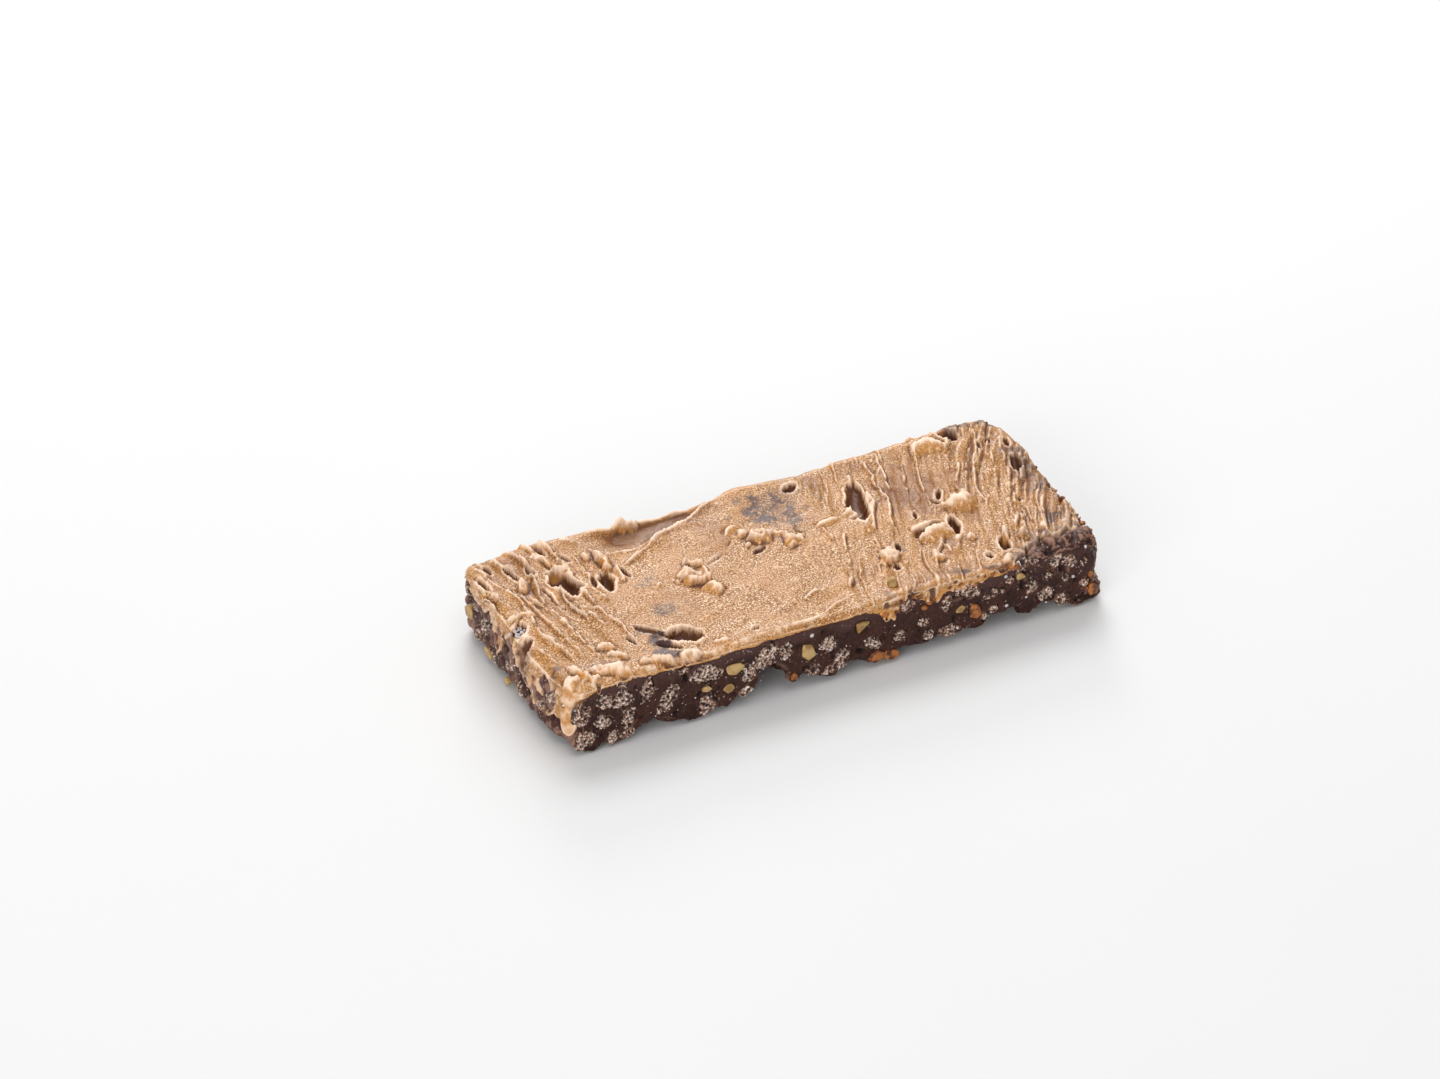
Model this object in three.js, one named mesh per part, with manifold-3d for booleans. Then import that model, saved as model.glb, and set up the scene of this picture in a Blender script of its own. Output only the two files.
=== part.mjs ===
// A crisped rice snack bar, lying as it is served: a slab of puffed rice and chopped nuts set in dark chocolate, with a
// thin spread of nut cream over the top that runs down one end.
// Millimetres, +Z up, +X along the bar. The lowest crisps stand on z = 0 and the origin is under the middle.
import * as THREE from "three";
import { mergeVertices } from "three/addons/utils/BufferGeometryUtils.js";
import Module from "manifold-3d";

const wasm = await Module();
wasm.setup();

// Driving dimensions of the bar. It was cut a little longer at the back than at the front.
const backLength = 103;
const frontLength = 98.4;
const width = 42;
const slabTop = 11.6;
const creamLevel = 13.1;
const cornerRadius = 2.6;

// The slab's core stops short of the cut faces, and the crisps fill up what is left.
const faceRelief = 0.5;
const endRelief = 1.1;
const coreLift = 2.1;

// The cream that hangs down the left end puts the slab this far right of the bar's middle.
const slabMiddle = 0.86;

// One puffed grain of rice, and the lumps that grains make on the underside.
const crispLength = 6.2;
const crispThickness = 3.5;
const lumpLength = 8.6;
const lumpThickness = 5.0;

// Spaces between pieces that touch.
const layerGap = 0.1;
const cutGap = 0.3;

const halfWidth = width / 2;
const crispSides = 6;
const crispRings = 3;
const frontCrispRings = 4;
const random = seededRandom(20251);

// Where the underside arches up between its feet: place along the bar, which edge, width, and height of the arch.
const arches = [
  { x: -35.4, edge: -1, span: 4.4, rise: 1.5 },
  { x: -14.0, edge: -1, span: 5.0, rise: 4.2 },
  { x: 2.4, edge: -1, span: 4.0, rise: 2.2 },
  { x: 12.6, edge: -1, span: 3.6, rise: 1.6 },
  { x: 29.6, edge: -1, span: 6.4, rise: 2.2 },
  { x: 39.8, edge: -1, span: 4.4, rise: 1.4 },
  { x: -27.0, edge: 1, span: 6.0, rise: 2.4 },
  { x: 8.0, edge: 1, span: 5.0, rise: 2.8 },
  { x: 33.0, edge: 1, span: 5.6, rise: 1.8 },
];
const archDepth = 7;

// Chopped nuts that show in the front face: place along the bar, height, length and height of the piece.
const frontNuts = [
  { x: -20.4, z: 8.4, long: 4.6, high: 2.8 },
  { x: -21.7, z: 5.0, long: 2.6, high: 2.2 },
  { x: -25.8, z: 6.1, long: 2.4, high: 1.5 },
  { x: -6.8, z: 7.3, long: 4.0, high: 5.0 },
  { x: 2.7, z: 9.4, long: 3.8, high: 3.0 },
  { x: 22.0, z: 7.0, long: 2.4, high: 2.2 },
  { x: 25.2, z: 5.6, long: 2.8, high: 3.6 },
  { x: 7.6, z: 2.4, long: 5.4, high: 3.2 },
  { x: 33.4, z: 10.0, long: 2.8, high: 2.2 },
];

// Lumps of bare chocolate that stand through the cream as a shoulder at the front right corner.
const shoulder = [
  { x: 36.9, y: -20.0, long: 8.0, deep: 4.6, top: 13.2 },
  { x: 41.6, y: -19.4, long: 8.4, deep: 6.4, top: 13.9 },
  { x: 46.6, y: -18.9, long: 7.6, deep: 7.8, top: 14.0 },
];

// Broad rises and hollows of the spread cream: place, half sizes, and height above the level.
const creamSwells = [
  { x: -15.5, y: 18.0, rx: 9.5, ry: 3.4, rise: -1.35 },
  { x: -21.0, y: 20.8, rx: 8.5, ry: 1.5, rise: 0.75 },
  { x: -40.0, y: 19.0, rx: 10.0, ry: 8.0, rise: 0.6 },
  { x: 1.0, y: 20.5, rx: 7.0, ry: 3.5, rise: 0.7 },
  { x: 40.0, y: 19.5, rx: 10.0, ry: 5.0, rise: 1.0 },
  { x: -41.0, y: -19.0, rx: 7.0, ry: 2.6, rise: 0.7 },
  { x: 14.0, y: -18.6, rx: 9.0, ry: 3.0, rise: 0.8 },
  { x: -8.0, y: 1.0, rx: 16.0, ry: 9.0, rise: -0.35 },
  { x: -49.5, y: -9.0, rx: 4.5, ry: 6.0, rise: -0.9 },
];

// Blobs, flaps and rolls of cream that stand up: place, length, width, height, and turn from the bar's length.
const creamLumps = [
  { x: -18.0, y: 0.3, long: 4.8, wide: 4.2, rise: 1.3, turn: 70 },
  { x: -17.3, y: -4.9, long: 4.6, wide: 3.2, rise: 1.0, turn: 20 },
  { x: -2.6, y: 6.0, long: 5.0, wide: 4.0, rise: 1.2, turn: 10 },
  { x: 2.7, y: 2.3, long: 4.2, wide: 3.4, rise: 0.9, turn: 30 },
  { x: -29.6, y: 11.6, long: 5.8, wide: 2.6, rise: 1.4, turn: 98 },
  { x: -44.8, y: 10.6, long: 3.0, wide: 2.4, rise: 0.9, turn: 80 },
  { x: -38.2, y: 15.3, long: 4.4, wide: 2.2, rise: 0.8, turn: 130 },
  { x: 36.4, y: 17.2, long: 6.0, wide: 3.4, rise: 1.1, turn: 150 },
  { x: 25.6, y: -7.4, long: 6.2, wide: 4.2, rise: 1.1, turn: 20 },
  { x: 24.6, y: -3.7, long: 5.8, wide: 2.4, rise: 0.8, turn: 25 },
  { x: 33.8, y: 0.3, long: 6.0, wide: 2.8, rise: 1.5, turn: 25 },
  { x: 14.6, y: -9.6, long: 4.4, wide: 3.8, rise: 0.9, turn: 60 },
  { x: 10.7, y: -17.4, long: 3.2, wide: 2.6, rise: 1.5, turn: 60 },
  { x: -42.6, y: -18.0, long: 8.0, wide: 1.9, rise: 1.2, turn: -33 },
  { x: -38.6, y: -15.0, long: 4.0, wide: 1.8, rise: 0.7, turn: -50 },
  { x: -33.4, y: -19.3, long: 5.6, wide: 1.6, rise: 0.8, turn: -18 },
];

// Pits torn in the cream, down to the same sizes.
const creamPits = [
  { x: -38.3, y: 8.2, long: 6.0, wide: 4.0, depth: 1.35, turn: 112 },
  { x: -31.4, y: 6.0, long: 4.6, wide: 2.6, depth: 1.3, turn: 75 },
  { x: -26.8, y: -13.7, long: 6.2, wide: 3.6, depth: 1.35, turn: -12 },
  { x: 18.3, y: 7.8, long: 11.6, wide: 3.2, depth: 1.3, turn: 70 },
  { x: 29.3, y: -5.6, long: 4.8, wide: 2.0, depth: 1.2, turn: 75 },
  { x: 34.5, y: -13.6, long: 4.4, wide: 2.6, depth: 1.2, turn: 60 },
  { x: 41.2, y: 18.2, long: 3.8, wide: 2.6, depth: 1.2, turn: 130 },
  { x: 48.2, y: 7.0, long: 4.6, wide: 2.4, depth: 1.0, turn: 70 },
  { x: 9.0, y: 17.0, long: 3.0, wide: 2.0, depth: 1.1, turn: 20 },
  { x: -50.2, y: 13.6, long: 3.6, wide: 1.4, depth: 1.0, turn: 100 },
];

// Knife strokes: ridges that lean across the bar near each end, and fade out towards the smooth middle.
const strokes = [
  { from: -53, to: -33, pitch: 3.1, height: 0.42, lean: -9 },
  { from: 9, to: 53, pitch: 3.7, height: 0.3, lean: 21 },
];

// How far the cream hangs down the left end, as heights of its hem from the front edge to the back edge.
const hemHeights = [2.6, 3.0, 6.6, 7.4, 6.0, 8.2, 9.4, 4.0, 8.0, 9.6, 10.2];
const drapeThickness = 1.3;
const drapeBack = 18;

function seededRandom(seed) {
  let state = seed;
  return () => {
    state = (state + 0x6d2b79f5) | 0;
    let mixed = Math.imul(state ^ (state >>> 15), 1 | state);
    mixed = (mixed + Math.imul(mixed ^ (mixed >>> 7), 61 | mixed)) ^ mixed;
    return ((mixed ^ (mixed >>> 14)) >>> 0) / 4294967296;
  };
}

function between(low, high) {
  return low + (high - low) * random();
}

// Half the slab's length at a place across it.
function halfLength(y) {
  const share = (y + halfWidth) / width;
  return (frontLength + (backLength - frontLength) * share) / 2;
}

// Where the slab ends at a place across it: side is -1 for the left end and 1 for the right.
function endOf(side, y) {
  return slabMiddle + side * halfLength(y);
}

// A hump of height 1 that falls smoothly away: u and v are distances in half sizes.
function hump(u, v) {
  return Math.exp(-1.4 * (u * u + v * v));
}

// A slow, uneven swell of about plus or minus one.
function swell(x, y, pitch, phase) {
  const k = (2 * Math.PI) / pitch;
  const first = Math.sin(k * x + 1.3 * Math.sin(k * 0.6 * y + phase) + phase);
  const second = Math.sin(k * 0.7 * y + 0.9 * Math.sin(k * 0.8 * x - phase) + 2 * phase);
  return (first + second) / 2;
}

// Moves a point that lies in the square corner of a plan onto the rounded corner.
function roundCorner(x, y, halfX, halfY, radius) {
  const overX = Math.abs(x) - (halfX - radius);
  const overY = Math.abs(y) - (halfY - radius);
  if (overX <= 0 || overY <= 0) return [x, y];
  const pull = Math.max(overX, overY) / Math.hypot(overX, overY);
  const newX = halfX - radius + overX * pull;
  const newY = halfY - radius + overY * pull;
  return [Math.sign(x) * newX, Math.sign(y) * newY];
}

// A closed box grid whose points are moved by place(u, v, w), with u and v from -1 to 1 and w from 0 to 1.
function formedBox(across, along, up, place) {
  const box = new THREE.BoxGeometry(2, 2, 1, across, along, up);
  const points = box.getAttribute("position");
  for (let i = 0; i < points.count; i += 1) {
    const [x, y, z] = place(points.getX(i), points.getY(i), points.getZ(i) + 0.5);
    points.setXYZ(i, x, y, z);
  }
  return solidFrom(box);
}

function solidFrom(geometry) {
  const bare = geometry.clone();
  bare.deleteAttribute("normal");
  bare.deleteAttribute("uv");
  const merged = mergeVertices(bare, 1e-4);
  const mesh = new wasm.Mesh({
    numProp: 3,
    vertProperties: new Float32Array(merged.getAttribute("position").array),
    triVerts: new Uint32Array(merged.index.array),
  });
  return new wasm.Manifold(mesh);
}

function geometryFrom(solid) {
  const mesh = solid.getMesh();
  const geometry = new THREE.BufferGeometry();
  geometry.setAttribute("position", new THREE.BufferAttribute(new Float32Array(mesh.vertProperties), 3));
  geometry.setIndex(new THREE.BufferAttribute(new Uint32Array(mesh.triVerts), 1));
  geometry.computeVertexNormals();
  return geometry;
}

// An ellipsoid with few sides, of full sizes long, wide and high.
function blob(long, wide, high, place, turns, sides = crispSides, rings = crispRings) {
  const ball = new THREE.SphereGeometry(0.5, sides, rings);
  const turned = new THREE.Quaternion().setFromEuler(new THREE.Euler(...turns));
  const matrix = new THREE.Matrix4().compose(place, turned, new THREE.Vector3(long, wide, high));
  ball.applyMatrix4(matrix);
  return solidFrom(ball);
}

function unionOf(solids) {
  return solids.reduce((whole, piece) => whole.add(piece));
}

// How high the core's underside lies, with its arches between the feet.
function undersideHeight(x, y) {
  let height = coreLift + 0.35 * swell(x, y, 17, 0.7);
  for (const arch of arches) {
    const inward = (halfWidth - arch.edge * y) / archDepth;
    height += arch.rise * hump((x - arch.x) / (arch.span / 2), inward * 0.9);
  }
  return height;
}

function slabCore() {
  return formedBox(22, 8, 2, (u, v, w) => {
    const wantedY = v * (halfWidth - faceRelief);
    const reach = halfLength(wantedY) - endRelief;
    const [fromMiddle, y] = roundCorner(u * reach, wantedY, reach, halfWidth - faceRelief, cornerRadius);
    const x = fromMiddle + slabMiddle;
    const bottom = undersideHeight(x, y);
    const bulge = 0.25 * swell(x + y, w * 9, 23, 1.9);
    const z = bottom + (slabTop + 1 - bottom) * w;
    return [x + Math.abs(u) ** 9 * bulge, y + Math.abs(v) ** 9 * bulge * 0.6, z];
  });
}

// Crisps along one cut face, lying any way round and cut off flush with it.
function faceCrisps(side) {
  const crisps = [];
  const rows = [4.6, 8.6];
  const pitch = side < 0 ? 5.6 : 6.4;
  rows.forEach((row, level) => {
    const first = endOf(-1, -halfWidth) + 3 + level * (pitch / 2);
    const last = endOf(1, -halfWidth) - 3;
    for (let x = first; x < last; x += pitch) {
      const lift = undersideHeight(x, side * halfWidth) - coreLift;
      const z = Math.min(row + Math.max(0, lift) * (level ? 0.3 : 0.9) + between(-0.6, 0.6), slabTop - 1.2);
      const place = new THREE.Vector3(x + between(-0.9, 0.9), side * (halfWidth - between(0.9, 1.5)), z);
      const turns = [between(-0.3, 0.3), between(-1.4, 1.4), between(-0.4, 0.4)];
      const size = between(0.82, 1.08);
      const rings = side < 0 ? frontCrispRings : crispRings;
      const thick = crispThickness * size;
      crisps.push(blob(crispLength * size, thick, thick, place, turns, crispSides, rings));
    }
  });
  return crisps;
}

// Crisps on one end, which is broken rather than cut, so that they stand out.
function endCrisps(side) {
  const crisps = [];
  const pitch = 5.4;
  [4.2, 8.4].forEach((row, level) => {
    for (let y = -halfWidth + 3 + level * 2; y < halfWidth - 2; y += pitch) {
      const x = endOf(side, y) - side * between(1.5, 2.1);
      const place = new THREE.Vector3(x, y + between(-0.8, 0.8), row + between(-0.5, 0.7));
      const turns = [between(-1.2, 1.2), between(-0.4, 0.4), Math.PI / 2 + between(-0.6, 0.6)];
      const size = between(0.85, 1.1);
      crisps.push(blob(crispLength * size, crispThickness * size, crispThickness * size, place, turns));
    }
  });
  return crisps;
}

// Rounded lumps of coated crisps under the slab. They follow its arches, and the rest reach the surface.
function undersideLumps() {
  const lumps = [];
  const pitchX = 8.0;
  const pitchY = 7.3;
  for (let row = 0, y = -halfWidth + 2.8; y < halfWidth - 1.5; row += 1, y += pitchY) {
    const first = endOf(-1, y) + 3.4 + (row % 2) * (pitchX / 2);
    for (let x = first; x < endOf(1, y) - 3; x += pitchX) {
      const atX = x + between(-0.8, 0.8);
      const atY = y + between(-0.7, 0.7);
      const high = lumpThickness * between(0.92, 1.12);
      const place = new THREE.Vector3(atX, atY, undersideHeight(atX, atY) + between(0.1, 0.5));
      const turns = [0, between(-0.12, 0.12), between(0, Math.PI)];
      const long = lumpLength * between(0.85, 1.1);
      const wide = lumpLength * between(0.6, 0.8);
      lumps.push(blob(long, wide, high, place, turns));
    }
  }
  return lumps;
}

// The foot under the middle, whose flat is the bar's resting face.
function middleFoot() {
  return blob(9, 8, 6, new THREE.Vector3(0, 0, 2), [0, 0, 0.3], 10, 6);
}

function nutPieces() {
  return frontNuts.map(({ x, z, long, high }) => {
    const nut = new THREE.IcosahedronGeometry(0.5, 0);
    nut.applyMatrix4(new THREE.Matrix4().makeRotationFromEuler(new THREE.Euler(0.4, between(0, 1.5), 0.2)));
    nut.applyMatrix4(new THREE.Matrix4().makeScale(long, 3.4, high));
    nut.translate(x, -halfWidth + 1.2, z);
    return solidFrom(nut);
  });
}

// The bar's plan as one outline with round corners, a given distance outside the nominal one.
function planShape(grow, growEnds) {
  const shape = new THREE.Shape();
  const half = halfWidth + grow;
  const r = cornerRadius;
  const [leftFront, leftBack] = [endOf(-1, -halfWidth) - growEnds, endOf(-1, halfWidth) - growEnds];
  const [rightFront, rightBack] = [endOf(1, -halfWidth) + growEnds, endOf(1, halfWidth) + growEnds];
  shape.moveTo(leftFront + r, -half);
  shape.lineTo(rightFront - r, -half);
  shape.quadraticCurveTo(rightFront, -half, rightFront, -half + r);
  shape.lineTo(rightBack, half - r);
  shape.quadraticCurveTo(rightBack, half, rightBack - r, half);
  shape.lineTo(leftBack + r, half);
  shape.quadraticCurveTo(leftBack, half, leftBack, half - r);
  shape.lineTo(leftFront, -half + r);
  shape.quadraticCurveTo(leftFront, -half, leftFront + r, -half);
  return shape;
}

function prism(grow, growEnds, bottom, top) {
  const outline = planShape(grow, growEnds);
  const block = new THREE.ExtrudeGeometry(outline, { depth: top - bottom, bevelEnabled: false, curveSegments: 4 });
  block.translate(0, 0, bottom);
  return solidFrom(block);
}

// The shoulder's lumps, swollen by a given amount.
function shoulderForm(grow) {
  const sunk = slabTop - 2.4;
  const lumps = shoulder.map(({ x, y, long, deep, top }) => {
    const place = new THREE.Vector3(x, y, sunk);
    return blob(long + 2 * grow, deep + 2 * grow, 2 * (top - sunk + grow), place, [0.1, 0.05, 0.1], 10, 6);
  });
  return unionOf(lumps);
}

// The slab: core, crisps, nuts and lumps in one, cut flush by the knife and level with the surface it stands on.
function crispedRiceSlab() {
  const grains = [
    ...faceCrisps(-1),
    ...faceCrisps(1),
    ...endCrisps(-1),
    ...endCrisps(1),
    ...undersideLumps(),
    ...nutPieces(),
    middleFoot(),
  ];
  const whole = unionOf([slabCore(), ...grains]);
  const cut = whole.intersect(prism(0, 0, 0, slabTop));
  const withShoulder = cut.add(shoulderForm(0).intersect(prism(-0.1, -0.1, slabTop - 3, slabTop + 6)));
  return withShoulder;
}

// The knife strokes' ridges at a point of the cream.
function strokeHeight(x, y) {
  let height = 0;
  for (const { from, to, pitch, height: tall, lean } of strokes) {
    const along = x - y * Math.tan(THREE.MathUtils.degToRad(lean));
    const inside = THREE.MathUtils.smoothstep(x, from, from + 4) * (1 - THREE.MathUtils.smoothstep(x, to - 5, to));
    const phase = (2 * Math.PI * along) / pitch + 0.8 * Math.sin(along * 0.7);
    height += inside * tall * (2 * Math.abs(Math.cos(phase / 2)) - 1);
  }
  return height;
}

function creamSurface(x, y) {
  let height = creamLevel + 0.12 * swell(x, y, 21, 0.4) + strokeHeight(x, y);
  for (const { x: cx, y: cy, rx, ry, rise } of creamSwells) {
    height += rise * hump((x - cx) / rx, (y - cy) / ry);
  }
  return Math.max(height, slabTop + 0.7);
}

function creamSheet() {
  const leftOverhang = drapeThickness + cutGap;
  return formedBox(50, 12, 1, (u, v, w) => {
    const wantedY = v * (halfWidth - 0.1);
    const reach = halfLength(wantedY);
    let [x, y] = roundCorner(u * reach, wantedY, reach, halfWidth, cornerRadius);
    x += slabMiddle - (u < 0 ? leftOverhang * u ** 4 : 0.4 * u ** 6);
    y += Math.abs(v) ** 7 * 0.2 * swell(x, 0, 11, 2.2);
    const edge = Math.max(Math.abs(u) ** 40, Math.abs(v) ** 16);
    const top = creamSurface(x, y) - 0.35 * edge;
    return [x, y, w > 0.5 ? top : slabTop - 1];
  });
}

// The hem's height at a place across the left end.
function hemHeight(y) {
  const step = ((y + halfWidth) / (drapeBack + halfWidth)) * (hemHeights.length - 1);
  const low = Math.min(Math.max(Math.floor(step), 0), hemHeights.length - 2);
  return THREE.MathUtils.lerp(hemHeights[low], hemHeights[low + 1], THREE.MathUtils.clamp(step - low, 0, 1));
}

// The cream that was dragged over the left end and hangs down it.
function creamDrape() {
  return formedBox(1, 14, 4, (u, v, w) => {
    const y = THREE.MathUtils.lerp(-halfWidth + 0.4, drapeBack, (v + 1) / 2);
    const hem = hemHeight(y);
    const z = hem + (slabTop + 0.6 - hem) * w;
    const inner = endOf(-1, y) - cutGap;
    const thickness = drapeThickness * (0.45 + 0.55 * w ** 0.7) * (1 + 0.2 * swell(y, z, 6, 1.1));
    const rounded = cornerRadius * Math.max(0, (Math.abs(y) - halfWidth + cornerRadius) / cornerRadius) ** 2;
    return [inner - (u < 0 ? thickness : 0) + rounded * 0.6, y, z];
  });
}

function creamBlob({ x, y, long, wide, rise, turn }) {
  const level = creamSurface(x, y);
  const place = new THREE.Vector3(x, y, level - 0.15 * rise);
  return blob(long, wide, 2 * rise, place, [0, 0, THREE.MathUtils.degToRad(turn)], 8, 4);
}

function creamPit({ x, y, long, wide, depth, turn }) {
  const level = creamSurface(x, y);
  const place = new THREE.Vector3(x, y, level + 0.3);
  return blob(long, wide, 2 * (depth + 0.3), place, [0, 0, THREE.MathUtils.degToRad(turn)], 8, 4);
}

// The cream: the sheet on top and its fall over the left end, with lumps on it and pits torn in it.
function nutCream() {
  const underside = prism(2, 4, slabTop - 3, slabTop + layerGap);
  const sheet = creamSheet().subtract(underside);
  const standing = unionOf(creamLumps.map(creamBlob)).intersect(prism(0.3, 1, slabTop + 0.5, slabTop + 6));
  const pits = unionOf(creamPits.map(creamPit)).intersect(prism(2, 2, slabTop + 0.4, slabTop + 6));
  const drape = creamDrape().subtract(prism(cutGap, cutGap, -1, slabTop + layerGap));
  const spread = sheet.add(drape).add(standing).subtract(pits);
  return largestOf(spread.subtract(shoulderForm(cutGap)));
}

// A cut can leave loose scraps, which are dropped.
function largestOf(solid) {
  return solid.decompose().reduce((most, piece) => (piece.volume() > most.volume() ? piece : most));
}

function material(color, roughness) {
  return new THREE.MeshStandardMaterial({ color, roughness, metalness: 0 });
}

function named(name, solid, finish) {
  const mesh = new THREE.Mesh(geometryFrom(solid), finish);
  mesh.name = name;
  return mesh;
}

const slab = named("crisped_rice_slab", crispedRiceSlab(), material(0x3b2726, 0.5));
const cream = named("nut_cream", nutCream(), material(0xbd9165, 0.45));

// The bar is placed so that its bounding box is centred over the origin.
const bar = new THREE.Group();
bar.add(slab, cream);
const extent = new THREE.Box3().setFromObject(bar);
const middle = extent.getCenter(new THREE.Vector3());
bar.position.set(-middle.x, -middle.y, -extent.min.z);

const part = new THREE.Group();
part.add(bar);

export default part;
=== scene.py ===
"""A crispy rice bar: puffed rice and chopped nuts set in dark chocolate, under a thin spread of nut cream.

The knife cut the long sides flush, so grains and nuts lie open in them. The cream was drawn along the bar
with a palette knife, which left torn strokes near both ends, and it hangs down the left end. Sizes are
millimetres until a mesh is finished.
"""

import functools
import itertools
import math
import random

import bmesh
import bpy
import numpy as np
from mathutils import Euler, Matrix, Vector


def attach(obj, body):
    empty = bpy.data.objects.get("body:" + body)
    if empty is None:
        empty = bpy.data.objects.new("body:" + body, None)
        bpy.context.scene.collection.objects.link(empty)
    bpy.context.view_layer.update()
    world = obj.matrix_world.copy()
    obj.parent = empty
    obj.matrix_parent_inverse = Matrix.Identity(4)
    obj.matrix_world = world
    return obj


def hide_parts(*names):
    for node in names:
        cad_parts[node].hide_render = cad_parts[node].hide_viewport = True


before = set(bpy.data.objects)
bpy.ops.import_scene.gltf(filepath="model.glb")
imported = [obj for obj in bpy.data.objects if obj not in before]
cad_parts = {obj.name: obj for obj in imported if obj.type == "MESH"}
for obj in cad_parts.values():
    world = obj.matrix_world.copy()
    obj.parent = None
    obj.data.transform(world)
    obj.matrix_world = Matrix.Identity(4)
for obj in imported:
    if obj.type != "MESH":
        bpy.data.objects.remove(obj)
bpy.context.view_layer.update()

MM = 0.001

# The slab as the knife left it.
WIDTH = 42.0
HALF_WIDTH = WIDTH / 2
SLAB_TOP = 11.6
CORE_LIFT = 2.1
CUT_FACE = 20.85
END_LIMIT = 51.6

# Where the slab ends at each place across it, from the front edge to the back.
LEFT_END = [
    (-21, -48.6), (-20, -49.6), (-18, -50.3), (-14, -51.1), (-5, -51.6), (17, -51.7), (19.5, -51.2),
    (21, -49.6),
]
RIGHT_END = [
    (-21, 48.3), (-20, 49.4), (-17.7, 50.2), (-7, 50.7), (0, 51.2), (9, 52), (16, 52.2), (19.5, 51.8),
    (21, 50),
]

# One puffed grain.
GRAIN_LENGTH = 6.2
GRAIN_THICKNESS = 3.5

# Coated grains under the slab lie in rows, so far apart, and no grain fits under an arch higher than this.
ROW_PITCH = 3.7
GRAIN_PITCH = 4.9
HIGH_ARCH = 4.5

# Heights of the rows of coated grains in both ends, and how far apart the grains lie.
END_ROWS = (2.9, 6.2, 9.4)
END_PITCH = 4.1

# Arches in the underside along the back: place, width and height.
BACK_ARCHES = [(-27.0, 6.0, 2.4), (8.0, 5.0, 2.8), (33.0, 5.6, 1.8)]
ARCH_DEPTH = 7.0

# The lower outline of the front face, as place along the bar and height: feet, and gaps between them.
FRONT_FEET = [
    (-50, 2.6), (-49, 0.6), (-46.5, 0.2), (-43, 0.3), (-40, 0.5), (-38.6, 1.2), (-37.4, 2.5),
    (-34.4, 2.5), (-32.8, 0.9), (-30.5, 0.3), (-27.5, 0.9), (-24, 1.6), (-22.9, 1.9), (-22.2, 1.1),
    (-20.2, 1.2), (-19.9, 2.5), (-16.2, 2), (-16, 5.6), (-13.4, 6.1), (-12, 4.2), (-9.8, 2.4),
    (-6.5, 1.2), (-4.5, 1.6), (-2, 1.1), (0.6, 1.8), (1, 3.2), (3.6, 2.9), (4.6, 1.5), (7, 0.6), (9, 0.8),
    (11.4, 3), (15, 2), (20.5, 1.8), (23.2, 1.5), (23.7, 2.4), (26.3, 2.2), (28.3, 3.6), (31.5, 3.6),
    (34.5, 2.3), (37.2, 1.6), (38.8, 2.8), (41, 2.6), (43, 1.2), (46, 0.2), (48.8, 0.4),
]
FEET_DEPTH = 4.5

# The one gap that runs far in under the bar.
NOTCH = -14.6
NOTCH_DEPTH = 8.0

random.seed(20251)
scatter = np.random.default_rng(20251)
TABLE = 32


# Shapes of noise.


def hills(points, pitch, seed):
    """Smooth random hills from -1 to 1 through space, so far apart. The pitch may be one for each axis."""
    table = np.random.default_rng(seed).uniform(-1, 1, (TABLE, TABLE, TABLE))
    scaled = points / np.asarray(pitch) + 97.0
    cell = np.floor(scaled).astype(int)
    part = scaled - cell
    part = part * part * (3 - 2 * part)
    total = np.zeros(len(points))
    for corner in itertools.product((0, 1), repeat=3):
        weight = np.prod(np.where(corner, part, 1 - part), axis=1)
        total += weight * table[tuple(((cell + corner) % TABLE).T)]
    return total


def crumble(points, pitch, seed):
    """Hills with finer hills on them, as something broken has."""
    total = hills(points, pitch, seed)
    total += 0.6 * hills(points, pitch / 2.1, seed + 1)
    return total + 0.35 * hills(points, pitch / 4.3, seed + 2)


def bubbles(points, pitch, seed):
    """How deep inside a bubble of foam each point is: 0 on a wall, and up to 1 in the middle of a bubble."""
    jitter = np.random.default_rng(seed).uniform(0.05, 0.95, (TABLE, TABLE, TABLE, 3))
    scaled = points / pitch + 97.0
    cell = np.floor(scaled).astype(int)
    nearest = np.full(len(points), 9.0)
    second = np.full(len(points), 9.0)
    for step in itertools.product((-1, 0, 1), repeat=3):
        spot = cell + step
        centre = spot + jitter[tuple((spot % TABLE).T)]
        gap = np.linalg.norm(scaled - centre, axis=1)
        second = np.minimum(second, np.maximum(nearest, gap))
        nearest = np.minimum(nearest, gap)
    return np.clip((second - nearest) * 1.8, 0, 1)


def smooth(low, high, value):
    """0 below low, 1 above high, and an even slope that eases in and out between them."""
    share = np.clip((value - low) / (high - low), 0, 1)
    return share * share * (3 - 2 * share)


def stretch(value, start, full, fall, end):
    """1 from full to fall, with a slope down to 0 at start and at end."""
    return smooth(start, full, value) * (1 - smooth(fall, end, value))


def most(*shares):
    """The largest of several shares at each point."""
    return functools.reduce(np.maximum, shares)


def bell(value):
    """1 at 0, and falling away evenly on both sides."""
    return np.exp(-(value**2))


def flat(x, y):
    """Points in plan, at height 0."""
    return np.column_stack([x, y, np.zeros_like(x)])


def along_list(value, pairs):
    """The value that a list of pairs gives at a place, on straight lines between its pairs."""
    return np.interp(value, *zip(*pairs))


# The bar's plan.


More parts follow.
